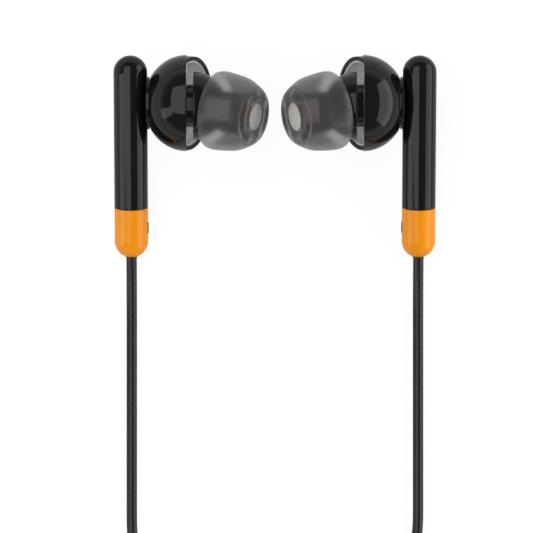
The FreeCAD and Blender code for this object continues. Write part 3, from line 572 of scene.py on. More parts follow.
# Colour or its property, roughness and its spread, grain's cells a metre, bump's depth, how metallic it is
# and how far its grain is drawn out
METALS = {
    "Satin Silver Liner": ("silver", 0.34, 0.12, 1800.0, 0.006 * MM, 0.0),
    "Steel Mesh": ((0.92, 0.92, 0.91), 0.45, 0.1, 3000.0, 0.004 * MM, 0.4),
    "Bright Steel": ((0.56, 0.56, 0.57), 0.28, 0.12, 2500.0, 0.006 * MM),
    "Nickel Plate": ((0.66, 0.65, 0.62), 0.12, 0.08, 2500.0, 0.004 * MM),
    "Copper Wire": ((0.83, 0.36, 0.17), 0.24, 0.1, 2500.0, 0.004 * MM),
    "Gold Contact": ((0.94, 0.70, 0.33), 0.14, 0.1, 1200.0, 0.004 * MM, 1.0, (1.0, 30.0, 1.0)),
}


class EARPHONES_OT_finishes(bpy.types.Operator):
    """Makes every finish and gives the inner CAD pieces theirs"""

    bl_idname = "earphones.finishes"
    bl_label = "Finishes"

    inner = {
        "cord_stop": "Bright Steel",
        "inner_lead": "Cord Jacket",
        "hookup_wires": "Copper Wire",
        "nozzle_foam": "Black Foam",
        "driver_frame": "Soft Black Rubber",
        "magnet_pot": "Bright Steel",
        "magnet": "Nickel Plate",
        "pole_plate": "Bright Steel",
        "voice_coil": "Copper Wire",
        "diaphragm": "Amber Film",
        "terminal_board": "Green Board",
        "side_mark": "Dark Print",
    }

    def execute(self, context):
        make_grain()
        make_scratches()
        make_dust()
        for make, finishes in ((plastic, PLASTICS), (metal, METALS)):
            for name, (tint, *rest) in finishes.items():
                make(name, tuple(getattr(colours(), tint)) if isinstance(tint, str) else tint, *rest)
        silicone("Smoke Silicone", tuple(colours().smoke))
        for side in SIDES:
            for node, finish in self.inner.items():
                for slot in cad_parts[f"{side}_{node}"].material_slots:
                    slot.material = bpy.data.materials[finish]
        return {"FINISHED"}


# ---- stems ----------------------------------------------------------------------------------------
def upright(profile, segments=None):
    """A profile along the stem, turned about y."""
    return aim(lathe(profile, segments), (0, 0, 0), (0, 1, 0))


def stem_grids():
    """Black tube turned about y: rounded seam edge, straight side, half-ball top, and the same within."""
    size = earpiece()
    bore = STEM_R - size.stem_wall
    dome, seam = size.stem_dome, -size.seam
    outside = outline(
        (seam + 0.2 * MM, bore, 0),
        (seam, bore, FINE),
        (seam, STEM_R, size.seam_round),
        arc((dome, 0), (STEM_R, STEM_R), 90, 0, 40),
        closed=False,
    )
    inside = arc((dome, 0), (bore, bore), 0, 90, 24)
    return [(upright(np.concatenate([inside, outside])), False)]


def cap_grids():
    """Orange cap turned about y: a spigot, the seam's rounded edge, the side, the half-ball end and the
    bore. The two parts of the arc round the end leave the mouth's edge slightly soft."""
    size = earpiece()
    seam, end = -size.seam, -STEM_LENGTH
    grommet = cords().lead_diameter / 2 + size.grommet_wall
    bore = STEM_R - size.cap_wall
    spigot = STEM_R - size.stem_wall - 0.04 * MM
    top, shoulder = seam + 3 * MM, seam - 0.06 * MM
    mouth = math.degrees(math.asin(grommet / STEM_R))
    profile = outline(
        (top, spigot - 0.5 * MM, SOFT),
        (top, spigot, SOFT),
        (shoulder, spigot, 0),
        (shoulder, STEM_R, size.seam_round),
        arc((end, 0), (STEM_R, STEM_R), 90, 180 - mouth - 2.5, 36),
        arc((end, 0), (STEM_R - 0.06 * MM, STEM_R), 180 - mouth - 0.8, 180 - mouth, 3),
        (end, grommet, 0),
        (end, bore, 0.2 * MM),
        (seam - 0.5 * MM, bore, 0.2 * MM),
    )
    return [(upright(profile), True)]


def grommet_grids():
    """Rubber sleeve turned about y, with a soft lip where the lead leaves it."""
    size = earpiece()
    inner = cords().lead_diameter / 2 - 0.01 * MM
    outer = inner + size.grommet_wall
    top, end = -STEM_LENGTH, -STEM_LENGTH - STEM_R
    profile = outline((end, inner, 0.03 * MM), (end, outer, SOFT), (top, outer, SHARP), (top, inner, SHARP))
    return [(upright(profile, 64), True)]


class EARPHONES_OT_stems(bpy.types.Operator):
    """Makes the stems, their orange caps and the rubber grommets"""

    bl_idname = "earphones.stems"
    bl_label = "Stems"

    def execute(self, context):
        add_pair("stem_tube", stem_grids(), "Gloss Black Plastic", "stem_shell")
        add_pair("stem_end_cap", cap_grids(), "Gloss Orange Plastic", "stem_cap")
        add_pair("lead_grommet", grommet_grids(), "Soft Black Rubber", "cord_grommet")
        return {"FINISHED"}


# ---- housings -------------------------------------------------------------------------------------
def ball_start():
    """Distance from the stem's axis at which the ball is as wide as the collar."""
    size = earpiece()
    return BALL_X - size.ball_depth * math.sqrt(1 - (size.collar_radius / BALL_R) ** 2)


def collar_grids():
    """Collar turned about x: a rounded disc against the stem, a narrow groove, and the ball's first edge."""
    size = earpiece()
    start, radius = STEM_R - size.collar_bite, size.collar_radius
    step, end = ball_start() - 0.17 * MM, ball_start() + 0.02 * MM
    groove = radius - 0.25 * MM
    profile = outline(
        (start, 0, 0),
        (start, radius, 0.12 * MM),
        (step, radius, FINE),
        (step, groove, 0.03 * MM),
        (end, groove, 0.03 * MM),
        (end, 0, 0),
        closed=False,
    )
    return [(lathe(profile), False)]


def rear_housing_grids():
    """Rear half of the ball turned about x: a flat foot, the half ellipse (depth * cos, radius * sin), a
    rounded rim at the seam, and the same half ellipse a wall further in."""
    size = earpiece()
    start, radius, depth, wall = ball_start(), BALL_R, size.ball_depth, size.ball_wall
    first = math.degrees(math.asin(size.collar_radius / radius))
    rim, hole = 0.07 * MM, 1.6 * MM
    profile = outline(
        (start, hole, 0),
        (start, size.collar_radius - 0.05 * MM, SHARP),
        arc((BALL_X, 0), (-depth, radius), first + 1, 89, 56),
        (BALL_X, radius, rim),
        (BALL_X, radius - wall, rim),
        arc((BALL_X, 0), (wall - depth, radius - wall), 89, first + 4, 40),
        (start + wall, hole, 0),
    )
    return [(lathe(profile, 160), True)]


def cut_angle(radius, face, turn):
    """Polar angle from x at which a sphere's meridian meets the plane square to the nozzle. With the
    meridian at height sin(turn), the plane is cos(angle - lift) = face / (radius * reach)."""
    rise = math.sin(pod().angle) * np.sin(turn)
    level = math.cos(pod().angle)
    reach = np.hypot(level, rise)
    return np.arctan2(rise, level) + np.arccos(np.clip(face / (radius * reach), -1, 1))


def bowl_grids(outer, wall, face, rounding, count=180):
    """Shell between the seam's plane and the plane square to the nozzle. Rows run round x over the turns
    where the two planes leave some sphere between them. Columns run round the shell's section: out along
    the outer sphere, over a rounded rim, and back along the inner sphere."""
    limit = math.asin(min(1.0, face / (outer * math.sin(pod().angle))))
    turn = np.linspace(math.pi - limit, 2 * math.pi + limit, count)
    span = (outer * (math.pi / 2 - cut_angle(outer, face, np.array([1.5 * math.pi]))))[0]
    section = outline((span, 0, 0), (span, wall, 0), (0, wall, rounding), (0, 0, rounding), steps=6)
    share = (section[:, 0] / span)[:, None]
    radius = outer - section[:, 1][:, None]
    rim = np.minimum(cut_angle(radius, face, turn[None]), math.pi / 2)
    polar = rim + (math.pi / 2 - rim) * share
    ring = radius * np.sin(polar)
    grid = np.stack([radius * np.cos(polar), ring * np.cos(turn), ring * np.sin(turn)], -1)
    return [((grid + (BALL_X, 0, 0)).transpose(1, 0, 2), False)]


def hood_grids():
    """Hood on the far side of the ball."""
    size = earpiece()
    return bowl_grids(BALL_R - size.hood_step, size.hood_wall, size.hood_face, 0.1 * MM)


def liner_grids():
    """Bright bowl inside the hood, and the disc behind the driver, turned about the pod's neck."""
    size = earpiece()
    outer = BALL_R - size.hood_step - size.hood_wall
    bowl = bowl_grids(outer, size.liner_wall, size.hood_face - size.liner_recess, 0.06 * MM)
    angle = circle(128)
    section = outline((0, 0, 0), (0, 1, 0), (1, 1, 0), (1, 0, 0))
    back, share = section[:, :1], section[:, 1:]
    ring = np.stack([np.cos(angle), np.sin(angle)], -1)
    hole = ring * (pod().neck_radius + 0.02 * MM) + (0, pod().offset_z)
    edge = ring * (BALL_R - size.ball_wall - 0.1 * MM)
    flat = hole + (edge - hole) * share[..., None]
    x = BALL_X - size.baffle * back + 0 * angle
    return bowl + [(np.concatenate([x[..., None], flat], -1), True)]


class EARPHONES_OT_housings(bpy.types.Operator):
    """Makes the neck collars, rear housings, hoods and bright liners"""

    bl_idname = "earphones.housings"
    bl_label = "Housings"

    def execute(self, context):
        add_pair("collar", collar_grids(), "Gloss Black Plastic", "neck_collar")
        add_pair("ball_housing", rear_housing_grids(), "Gloss Black Plastic", "rear_housing")
        add_pair("front_hood", hood_grids(), "Gloss Black Plastic", "hood")
        add_pair("silver_liner", liner_grids(), "Satin Silver Liner", "liner")
        return {"FINISHED"}


# ---- pods and nozzles -----------------------------------------------------------------------------
FOOT_SPREAD = 0.07  # angle at the pod's centre that the fillet at the nozzle's foot takes
WIRE_COLUMNS = 64
WIRE_SIDES = 6
MESH_DEPTH = 0.26 * MM  # of the mesh's middle behind the ring's front


def nozzle_frame():
    """Pod's centre and the nozzle's direction in the earpiece's frame."""
    size = pod()
    level = math.cos(size.droop)
    direction = [math.cos(size.angle) * level, -math.sin(size.droop), math.sin(size.angle) * level]
    return np.array([size.offset_x, 0, size.offset_z]), np.array(direction)


def nozzle_sides():
    """Two directions square to the nozzle: away from the table, and up the stem."""
    _, direction = nozzle_frame()
    side = unit(np.cross(direction, (0, 1, 0)))
    return side, np.cross(side, direction)


def ring_start():
    """Distance of the ring's foot from the pod's centre, along the nozzle."""
    return pod().radius + pod().nozzle_neck


def ring_end():
    """Distance of the ring's front from the pod's centre."""
    return ring_start() + pod().ring_length


def ring_lip():
    """Radius inside the ring's lip, which is also the ear tip's narrowest place."""
    return pod().nozzle_radius - pod().ring_depth - 0.12 * MM


def pod_grids():
    """Pod in one skin, with columns that turn about the nozzle. The nozzle's rows are turned about it. The
    dome's rows spread from the nozzle's foot to the pod's flat back, along each meridian of the sphere. The
    back's and neck's rows are circles about x, taken at the turn where each meridian arrives."""
    size = pod()
    centre, direction = nozzle_frame()
    side, up = nozzle_sides()
    turn = circle(128)
    spoke = np.cos(turn)[:, None] * side - np.sin(turn)[:, None] * up
    foot = math.asin(size.nozzle_radius / size.radius) + FOOT_SPREAD
    base = math.sqrt(size.radius**2 - size.nozzle_radius**2)
    step, end, wide = ring_start(), ring_end() - 0.3 * MM, size.nozzle_radius
    nozzle = outline(
        (base - 1.0 * MM, size.bore_radius, 0),
        (end, size.bore_radius, 0.08 * MM),
        (end, wide - size.ring_depth, 0.08 * MM),
        (step, wide - size.ring_depth, 0),
        (step, wide, 0.06 * MM),
        (size.radius * math.cos(foot), size.radius * math.sin(foot), 0),
        closed=False,
    )[:-3]
    near = foot - 0.03
    blend = smooth_line(
        [
            (base + 0.55 * MM, wide),
            (base + 0.12 * MM, wide + 0.05 * MM),
            (size.radius * math.cos(near), size.radius * math.sin(near) + 0.01 * MM),
            (size.radius * math.cos(foot), size.radius * math.sin(foot)),
        ],
        12,
    )
    nozzle = np.concatenate([nozzle, blend])
    rows = [nozzle[:, :1, None] * direction + nozzle[:, 1:, None] * spoke]
    edge = np.arctan2(direction[0], -spoke[:, 0])
    share = np.linspace(0, 1, 48)[1:-1, None]
    rounding = 0.12 * MM
    polar = foot + (edge - rounding / size.radius - foot) * share
    rows.append(size.radius * (np.cos(polar)[..., None] * direction + np.sin(polar)[..., None] * spoke))
    rim = np.cos(edge)[:, None] * direction + np.sin(edge)[:, None] * spoke
    neck_end = BALL_X - size.offset_x - 1.0 * MM
    neck_bore = size.neck_radius - size.neck_wall
    back = outline(
        (0.3 * MM, size.radius, 0),
        (0, size.radius, rounding),
        (0, size.neck_radius, SOFT),
        (neck_end, size.neck_radius, 0.08 * MM),
        (neck_end, neck_bore, 0.08 * MM),
        (0.4 * MM, neck_bore, 0),
        (0.4 * MM, size.radius - size.wall, 0),
        closed=False,
    )[3:]
    rows.append(back[:, 1:, None] * rim + back[:, :1, None] * np.array([1.0, 0, 0]))
    inner = size.radius - size.wall
    inner_foot = math.asin(size.bore_radius / inner)
    polar = edge - 0.09 + (inner_foot - edge + 0.09) * np.linspace(0, 1, 30)[:, None]
    rows.append(inner * (np.cos(polar)[..., None] * direction + np.sin(polar)[..., None] * spoke))
    return [(centre + np.concatenate(rows), True)]


def ring_grids():
    """Orange barbed ring turned about the nozzle, with a lip that holds the mesh."""
    size = pod()
    start, end, radius = ring_start(), ring_end(), size.nozzle_radius
    lip = end - 0.2 * MM
    profile = outline(
        (start, radius - size.ring_depth, SHARP),
        (start, radius, 0.03 * MM),
        (start + 0.5 * MM, radius + size.barb, ROUND),
        (end - 0.6 * MM, radius + size.barb, ROUND),
        (end, radius, 0.12 * MM),
        (end, ring_lip(), 0.05 * MM),
        (lip, ring_lip(), 0.03 * MM),
        (lip, radius - size.ring_depth, SHARP),
    )
    return [(aim(lathe(profile), *nozzle_frame()), True)]


def wire_grids(across, along, phase):
    """Woven wires: each is a tube whose axis rises and falls as a sine, one pitch to a half wave, and ends at
    the disc's edge. across and along are the unit axes of the disc that the wires lie over."""
    size = pod()
    radius = size.nozzle_radius - size.ring_depth - 0.02 * MM
    places = np.arange(-radius + size.mesh_pitch / 2, radius, size.mesh_pitch)
    centre, direction = nozzle_frame()
    level = centre + direction * (ring_end() - MESH_DEPTH)
    turn = circle(WIRE_SIDES)
    taper = closed_ends(WIRE_COLUMNS) * size.mesh_wire / 2
    grids = []
    for number, place in enumerate(places):
        half = math.sqrt(max(radius**2 - place**2, (0.3 * MM) ** 2))
        run = np.linspace(-half, half, WIRE_COLUMNS)[:, None]
        wave = np.sin(math.pi * (run / size.mesh_pitch + number + phase)) * size.mesh_wire * 0.45
        sideways = place + taper * np.cos(turn)
        height = wave + taper * np.sin(turn)
        grid = run[..., None] * along + sideways[..., None] * across + height[..., None] * direction
        grids.append((level + grid, False))
    return grids


def mesh_grids():
    """Both sets of woven wires across the nozzle's mouth, and the thin metal rim turned round them."""
    side, up = nozzle_sides()
    rim = ring_lip() - 0.01 * MM
    hole = rim - 0.1 * MM
    back, front = ring_end() - 0.18 * MM, ring_end() + 0.03 * MM
    section = outline(
        (back, hole, SHARP), (front, hole, 0.03 * MM), (front, rim, 0.01 * MM), (back, rim, 0.01 * MM)
    )
    rolled = [(aim(lathe(section), *nozzle_frame()), True)]
    return wire_grids(side, up, 0.0) + wire_grids(up, side, 1.0) + rolled


class EARPHONES_OT_nozzles(bpy.types.Operator):
    """Makes the driver pods with their nozzles, the orange rings and the woven meshes"""

    bl_idname = "earphones.nozzles"
    bl_label = "Pods and nozzles"

    def execute(self, context):
        add_pair("pod", pod_grids(), "Gloss Black Plastic", "driver_pod")
        add_pair("barbed_ring", ring_grids(), "Gloss Orange Plastic", "nozzle_ring")
        add_pair("woven_mesh", mesh_grids(), "Steel Mesh", "nozzle_mesh")
        return {"FINISHED"}


# ---- ear tips -------------------------------------------------------------------------------------
def tip_grids():
    """Ear tip turned about the nozzle. Its outline runs up the core's bore with the groove for the barb,
    round the soft mouth, back along the domed skirt to its thin rounded edge, and inside to the core."""
    size = pod()
    bore = size.nozzle_radius + size.tip_clearance
    groove = size.nozzle_radius + size.barb + size.tip_clearance
    core = groove + size.tip_core - 0.2 * MM
    start, barb = ring_start(), ring_end()
    front = barb + size.tip_overhang
    rear = front - size.tip_length
    mouth, radius, skin = size.tip_mouth, size.tip_radius, size.tip_skin
    lip = ring_lip()
    outer = smooth_line(
        [
            (front - 0.2 * MM, bore - 0.05 * MM),
            (front - 0.05 * MM, bore + 0.3 * MM),
            (front, bore + 0.75 * MM),
            (front - 0.12 * MM, mouth - 0.25 * MM),
            (front - 0.5 * MM, mouth + 0.2 * MM),
            (front - 1.5 * MM, radius - 1.15 * MM),
            (front - 3.2 * MM, radius - 0.42 * MM),
            (rear + 1.4 * MM, radius),
            (rear + 0.25 * MM, radius - 0.1 * MM),
            (rear, radius - 0.27 * MM),
            (rear + 0.2 * MM, radius - 0.42 * MM),
            (rear + 1.4 * MM, radius - skin),
            (front - 3.3 * MM, radius - skin - 0.45 * MM),
            (front - 1.8 * MM, mouth + 0.35 * MM),
            (front - 1.35 * MM, core + 0.65 * MM),
            (front - 1.7 * MM, core),
        ],
        150,
    )
    foot = size.radius + 0.16 * MM
    profile = outline(
        outer,
        (foot, core, ROUND),
        (foot, bore, ROUND),
        (start - size.tip_clearance, bore, 0),
        (start + 0.4 * MM, groove, SOFT),
        (barb - 0.5 * MM, groove, SOFT),
        (barb + 0.1 * MM, bore + 0.05 * MM, SOFT),
        (barb + 0.1 * MM, lip, FINE),
        (barb + 0.25 * MM, lip, FINE),
    )
    return [(aim(lathe(profile, 144), *nozzle_frame()), True)]


class EARPHONES_OT_tips(bpy.types.Operator):
    """Makes the silicone ear tips, which turn on their nozzles"""

    bl_idname = "earphones.tips"
    bl_label = "Ear tips"

    def execute(self, context):
        add_pair("silicone_tip", tip_grids(), "Smoke Silicone", "ear_tip", "tip")
        return {"FINISHED"}


# ---- cords ----------------------------------------------------------------------------------------
ARC_STEPS = 6  # points round each end of the hank
RUN_SHARE = 0.6  # place of a run's two points, as a share of half the run


def hank_points(first, last, radius_at, height_at):
    """Control points of turns round the hank, counted from the top of its left run, counter-clockwise seen
    from above. Each half circle has points on the polygon drawn round it, radius / cos(half step), so that
    the smooth line inside touches the circle, and each run has two points."""
    size = cords()
    half_step = math.pi / ARC_STEPS / 2
    mean = (size.leads_out + size.main_in) / 2
    lap = 4 * size.half_run + 2 * math.pi * mean
    points = []
    for turn in range(int(first), int(last) + 1):
        for side in (-1, 1):
            begin = 0.0 if side < 0 else 0.5
            for share in (RUN_SHARE, -RUN_SHARE):
                count = turn + begin + size.half_run * (1 - share) / lap
                y = -side * share * size.half_run
                points.append((count, side * radius_at(count), y, height_at(count)))
            for step in range(ARC_STEPS):
                angle = (2 * step + 1) * half_step
                count = turn + begin + (2 * size.half_run + mean * angle) / lap
                ring = radius_at(count) / math.cos(half_step)
                x, y = side * ring * math.cos(angle), side * ring * math.sin(angle)
                points.append((count, x, y + side * size.half_run, height_at(count)))
    return [(size.hank_x + x, size.hank_y + y, z) for count, x, y, z in points if first <= count <= last]


def ramp(value):
    """Smooth step from 0 to 1, of a number or an array."""
    share = np.clip(value, 0.0, 1.0)
    return share * share * (3 - 2 * share)


LEAD_TURN_IN = 1.15  # turns after which the leads go up a layer and back out
LEAD_TURNS = 2.0
LEAD_PITCH = 1.72 * MM  # from one lead to the one beside it
LEAD_STEP = 0.13  # half the length of the leads' climb, in turns
MAIN_START = 0.63  # place on the first turn where the main cord joins the hank
MAIN_TURNS = 7.25
MAIN_LAYERS = 4
LAYER_STEP = 0.12  # half the length of the main cord's climb, in turns


def lead_radius(count, inset):
    """A lead spirals in over the first layer and out again over the second."""
    outside = cords().leads_out - inset
    inward = outside - 2 * LEAD_PITCH * min(count, LEAD_TURN_IN)
    back = 2 * LEAD_PITCH * LEAD_TURN_IN / (LEAD_TURNS + 0.08 - LEAD_TURN_IN)
    return inward + back * max(0.0, count - LEAD_TURN_IN)


def lead_height(count):
    """Height of a lead's axis: one diameter up where it turns back."""
    size = cords()
    rise = ramp((count - LEAD_TURN_IN + LEAD_STEP) / (2 * LEAD_STEP))
    return size.base + size.lead_diameter * (0.5 + rise)


def main_radius(count):
    """The main cord goes in over one layer and out over the next."""
    size = cords()
    layer, share = divmod((count - MAIN_START) * MAIN_LAYERS / MAIN_TURNS, 1.0)
    share = share if int(layer) % 2 == 0 else 1 - share
    return size.main_out + (size.main_in - size.main_out) * share


def main_height(count):
    """Height of the main cord's axis: one diameter up at each change of layer."""
    size = cords()
    progress = count - MAIN_START
    climbs = np.arange(1, MAIN_LAYERS) * MAIN_TURNS / MAIN_LAYERS
    level = ramp((progress - climbs + LAYER_STEP) / (2 * LAYER_STEP)).sum()
    return size.base + 2 * size.lead_diameter + size.main_diameter * (0.5 + level)


def exit_point():
    """Where the left lead leaves its cap."""
    return to_table((0, -STEM_LENGTH - STEM_R, 0))


def lead_points(side, loose, joins, inset):
    """From a cap down to the table, along it through loose points, up onto the hank's left run where the
    lead joins it, round its turns, and on to the splitter; side is 1 for the left lead and -1 for the
    right, and inset is how far the right one lies inside the left one."""
    size = cords()
    start, z = exit_point() * (side, 1, 1), size.lead_diameter / 2
    touch = (start[2] - z) / math.tan(LEAN)
    down = [tuple(start), (start[0], start[1] - touch, z), (start[0], start[1] - touch - 9 * MM, z)]
    lift = (size.hank_x - size.leads_out + joins[0], size.hank_y + joins[1], size.base + z)
    wound = hank_points(0, LEAD_TURNS, lambda count: lead_radius(count, inset), lead_height)
    return down + loose + [lift] + wound + lead_end_points(side)


def left_lead_points():
    """The left lead, whose loose points lie on the table."""
    x, z = STEM_X, cords().lead_diameter / 2
    loose = [
        (x, -54.0 * MM, z),
        (x, -63.0 * MM, z),
        (-20.6 * MM, -71.5 * MM, z),
        (-11.9 * MM, -78.3 * MM, z),
        (-3.2 * MM, -83.6 * MM, z + 0.2 * MM),
    ]
    return lead_points(1, loose, (0.0, 15 * MM), 0.0)


def right_lead_points():
    """The right lead, which comes over to lie beside the left one."""
    x, z = -STEM_X, cords().lead_diameter / 2
    loose = [
        (x, -53.0 * MM, z),
        (x, -62.0 * MM, z),
        (20.9 * MM, -69.0 * MM, z),
        (13.0 * MM, -73.8 * MM, z),
        (4.0 * MM, -77.6 * MM, z + 0.2 * MM),
    ]
    return lead_points(-1, loose, (cords().lead_diameter, 22 * MM), LEAD_PITCH)


def splitter_axis():
    """X and Z of the splitter's axis, and Y of its upper and lower ends."""
    low, high = SPLITTER
    return (low[0] + high[0]) / 2, (low[2] + high[2]) / 2, high[1], low[1]


def lead_end_points(side):
    """The last of a lead, from the hank's left run to the splitter; side is 1 for the outer one."""
    size = cords()
    x, z, top, _ = splitter_axis()
    diameter = size.lead_diameter
    start_x = size.hank_x - size.leads_out + (1 - side) * diameter / 2
    start_z = size.base + 1.5 * diameter
    end_x = x - side * diameter * 0.55
    return [
        (start_x, size.hank_y + 6.0 * MM, start_z),
        (start_x - 0.5 * MM - side * diameter * 0.17, size.hank_y + 2.0 * MM, start_z - 0.15 * MM),
        (end_x, top + 4.2 * MM, z),
        (end_x, top, z),
    ]


def by_hank(*points):
    """Points counted from the hank's middle in millimetres, with their height in metres."""
    size = cords()
    return [(size.hank_x + x * MM, size.hank_y + y * MM, z) for x, y, z in points]


def main_points():
    """From the splitter round the hank's lower end, its turns, and over the leads to the plug."""
    size = cords()
    x, z, _, end = splitter_axis()
    over = size.base + 2 * size.lead_diameter + size.main_diameter / 2
    top = over + (MAIN_LAYERS - 1) * size.main_diameter
    start = [(x, end, z), (x, end - 3.4 * MM, z), (x + 1.7 * MM, end - 7.7 * MM, z)]
    start += by_hank(
        (-8.1, -32.6, 2.0 * MM),
        (-2.4, -33.6, 2.4 * MM),
        (4.4, -32.4, 3.0 * MM),
        (10.2, -28.2, 3.7 * MM),
        (13.4, -21.6, 4.4 * MM),
        (13.9, -13.6, 4.8 * MM),
        (12.0, -6.0, over),
    )
    start.append((size.hank_x + size.main_out, size.hank_y + 1.0 * MM, over))
    wound = hank_points(MAIN_START, MAIN_START + MAIN_TURNS - 0.05, main_radius, main_height)
    tail = by_hank(
        (4.0, 24.1, top),
        (-3.0, 25.1, top - 0.3 * MM),
        (-10.0, 26.6, top - 2.0 * MM),
        (-17.0, 25.6, top - 4.7 * MM),
    )
    plug_y = plug_start() + size.plug_relief
    tail += [
        (PLUG_X + 1.6 * MM, size.hank_y + 21.6 * MM, 4.0 * MM),
        (PLUG_X, plug_y + 4.5 * MM, PLUG_Z),
        (PLUG_X, plug_y, PLUG_Z),
    ]
    return start + wound + tail


def add_cord(name, points, diameter, stands_for):
    """A round cord along one smooth line."""
    curve = bpy.data.curves.new(name, "CURVE")
    curve.dimensions = "3D"
    curve.bevel_depth = diameter / 2
    curve.bevel_resolution = 6
    curve.use_fill_caps = True
    curve.resolution_u = 6
    curve.render_resolution_u = 6
    line = curve.splines.new("NURBS")
    line.points.add(len(points) - 1)
    line.points.foreach_set("co", np.array([(*p, 1.0) for p in points], float).ravel())
    line.order_u = 3
    line.use_endpoint_u = True
    line.use_smooth = True
    curve.materials.append(bpy.data.materials["Cord Jacket"])
    piece = bpy.data.objects.new(name, curve)
    bpy.context.scene.collection.objects.link(piece)
    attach(piece, "set")
    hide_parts(*stands_for)
    return piece


class EARPHONES_OT_cords(bpy.types.Operator):
    """Makes the two leads and the main cord, at their real lengths"""

    bl_idname = "earphones.cords"
    bl_label = "Cords"

    def execute(self, context):
        size = cords()
        lead, thick = size.lead_diameter, size.main_diameter
        left = add_cord("left_cord", left_lead_points(), lead, ("left_lead", "leads_hank"))
        right = add_cord("right_cord", right_lead_points(), lead, ("right_lead", "leads_hank"))
        main_cord = add_cord("main_cord_line", main_points(), thick, ("main_cord", "main_hank"))
        return {"FINISHED"}


# ---- splitter and tie -----------------------------------------------------------------------------
def wave_power(wave, power):
    """A sine or cosine to a power, with its sign kept, which squares up the shape that it goes round."""
    return np.sign(wave) * np.abs(wave) ** power


def splitter_grids():
    """Moulded splitter along y: each row is a rounded rectangle |x / wide|^n + |z / high|^n = 1, whose half
    sizes follow a rounded end, the body with a slight waist, and a ribbed taper on which n falls from
    4.5 to 2, a circle. The ribs are a smoothed square wave."""
    ribs_count, rib_depth, rib_shift = 5, 0.10, 1.2
    low, high = SPLITTER
    x, z, top, bottom = splitter_axis()
    relief = cords().relief_length
    wide, thick = (high[0] - low[0]) / 2, (high[2] - low[2]) / 2
    neck = cords().main_diameter / 2 + 0.25 * MM
    station = np.linspace(0, 1, 150)
    y = top - (top - bottom) * station
    into = np.clip((bottom + relief - y) / relief, 0, 1)
    edge = np.clip((top - y) / (0.7 * MM), 0, 1)
    crown = np.sqrt(1 - (1 - edge) ** 2) * 0.28 + 0.72
    wave = np.sin(into * ribs_count * 2 * math.pi - rib_shift) * 3
    ribs = 1 - rib_depth * (into > 0.02) * ramp(wave / 2 + 0.5)
    waist = 1 - 0.05 * np.exp(-(((y - (bottom + relief + 2.2 * MM)) / (1.1 * MM)) ** 2))
    taper = np.sqrt(np.clip(into, 0, 1)) * 0.35 + into * 0.65
    half_x = (wide + (neck - wide) * taper) * crown * ribs * waist
    half_z = (thick + (neck - thick) * taper) * crown * ribs
    power = 2 / (4.5 - 2.5 * taper)[:, None]
    turn = circle(96)
    across = wave_power(np.cos(turn), power) * half_x[:, None]
    above = wave_power(np.sin(turn), power) * half_z[:, None]
    grid = np.stack([x + across, y[:, None] + 0 * across, z + above], -1)
    on_axis = (grid[[0, -1]] - (x, 0, z)) * (0, 1, 0) + (x, 0, z)
    return [(np.concatenate([on_axis[:1], grid, on_axis[1:]]), False)]


def tie_grids():
    """Flat tie: its band's section, a ribbon with a wire's ridge along the middle, is carried round the
    hank's outline, and its two ends are ribbons wound round each other along a short twist on top."""
    size = cords()
    gap, half = size.tie_thickness, TIE_WIDTH / 2
    leads_side = size.leads_out + size.lead_diameter / 2
    main_side = size.main_out + size.main_diameter / 2
    main_low = size.base + 2 * size.lead_diameter
    top = main_low + MAIN_LAYERS * size.main_diameter
    inside = outline(
        (-leads_side, size.base, 0.35 * MM),
        (-leads_side, main_low, 1.0 * MM),
        (-main_side, top, 0.6 * MM),
        (main_side, top, 0.6 * MM),
        (main_side, size.base, 0.35 * MM),
        steps=8,
    )
    ahead = np.roll(inside, -1, 0) - np.roll(inside, 1, 0)
    outward = np.stack([-ahead[:, 1], ahead[:, 0]], 1)
    outward /= np.linalg.norm(outward, axis=1, keepdims=True)
    turn = circle(40)
    width = wave_power(np.cos(turn), 0.35) * half
    ridge = 0.18 * MM * np.exp(-((width / (0.45 * MM)) ** 2))
    level = wave_power(np.sin(turn), 0.5)
    height = gap * 0.36 + level * gap * 0.26 + ridge * (level > 0)
    place = inside[:, None] + outward[:, None] * height[:, None][None]
    x, z = place[..., 0], place[..., 1]
    band = np.stack([size.hank_x + x, TIE_Y + width + 0 * x, z], -1)
    ends = [twist_grid(top + size.tie_thickness * 0.6, phase) for phase in (0.0, math.pi)]
    return [(band, True)] + [(grid, False) for grid in ends]


TWISTS = 3
TWIST_LENGTH = 8.0 * MM


def twist_grid(base, phase):
    """One ribbon of the twist: a flat oval section whose centre circles the twist's axis as it goes, with
    three turns along x and a last stretch that opens outwards."""
    size = cords()
    rows, radius = 120, size.twist_radius
    share = np.linspace(0, 1, rows)[:, None]
    spin = phase + share * TWISTS * 2 * math.pi
    flare = 0.55 * radius * (1 + 0.9 * np.clip((share - 0.8) / 0.2, 0, 1))
    close = np.clip(share / 0.12, 0, 1)
    x = size.hank_x + share * TWIST_LENGTH
    y = TIE_Y + flare * np.cos(spin)
    z = base + radius * 0.75 + flare * np.sin(spin) * close
    turn = circle(16)[None]
    ends = closed_ends(rows)
    flat, thin = 0.62 * radius * np.cos(turn) * ends, 0.26 * radius * np.sin(turn) * ends
    side = -np.sin(spin) * flat + np.cos(spin) * thin
    rise = np.cos(spin) * flat + np.sin(spin) * thin
    return np.stack([x + 0 * side, y + side, z + rise], -1)


class EARPHONES_OT_splitter_and_tie(bpy.types.Operator):
    """Makes the moulded splitter and the tie round the hank"""

    bl_idname = "earphones.splitter_and_tie"
    bl_label = "Splitter and tie"

    def execute(self, context):
        add_piece("cord_splitter", splitter_grids(), "Soft Black Rubber", "splitter")
        add_piece("hank_tie", tie_grids(), "Tie Vinyl", "tie")
        return {"FINISHED"}


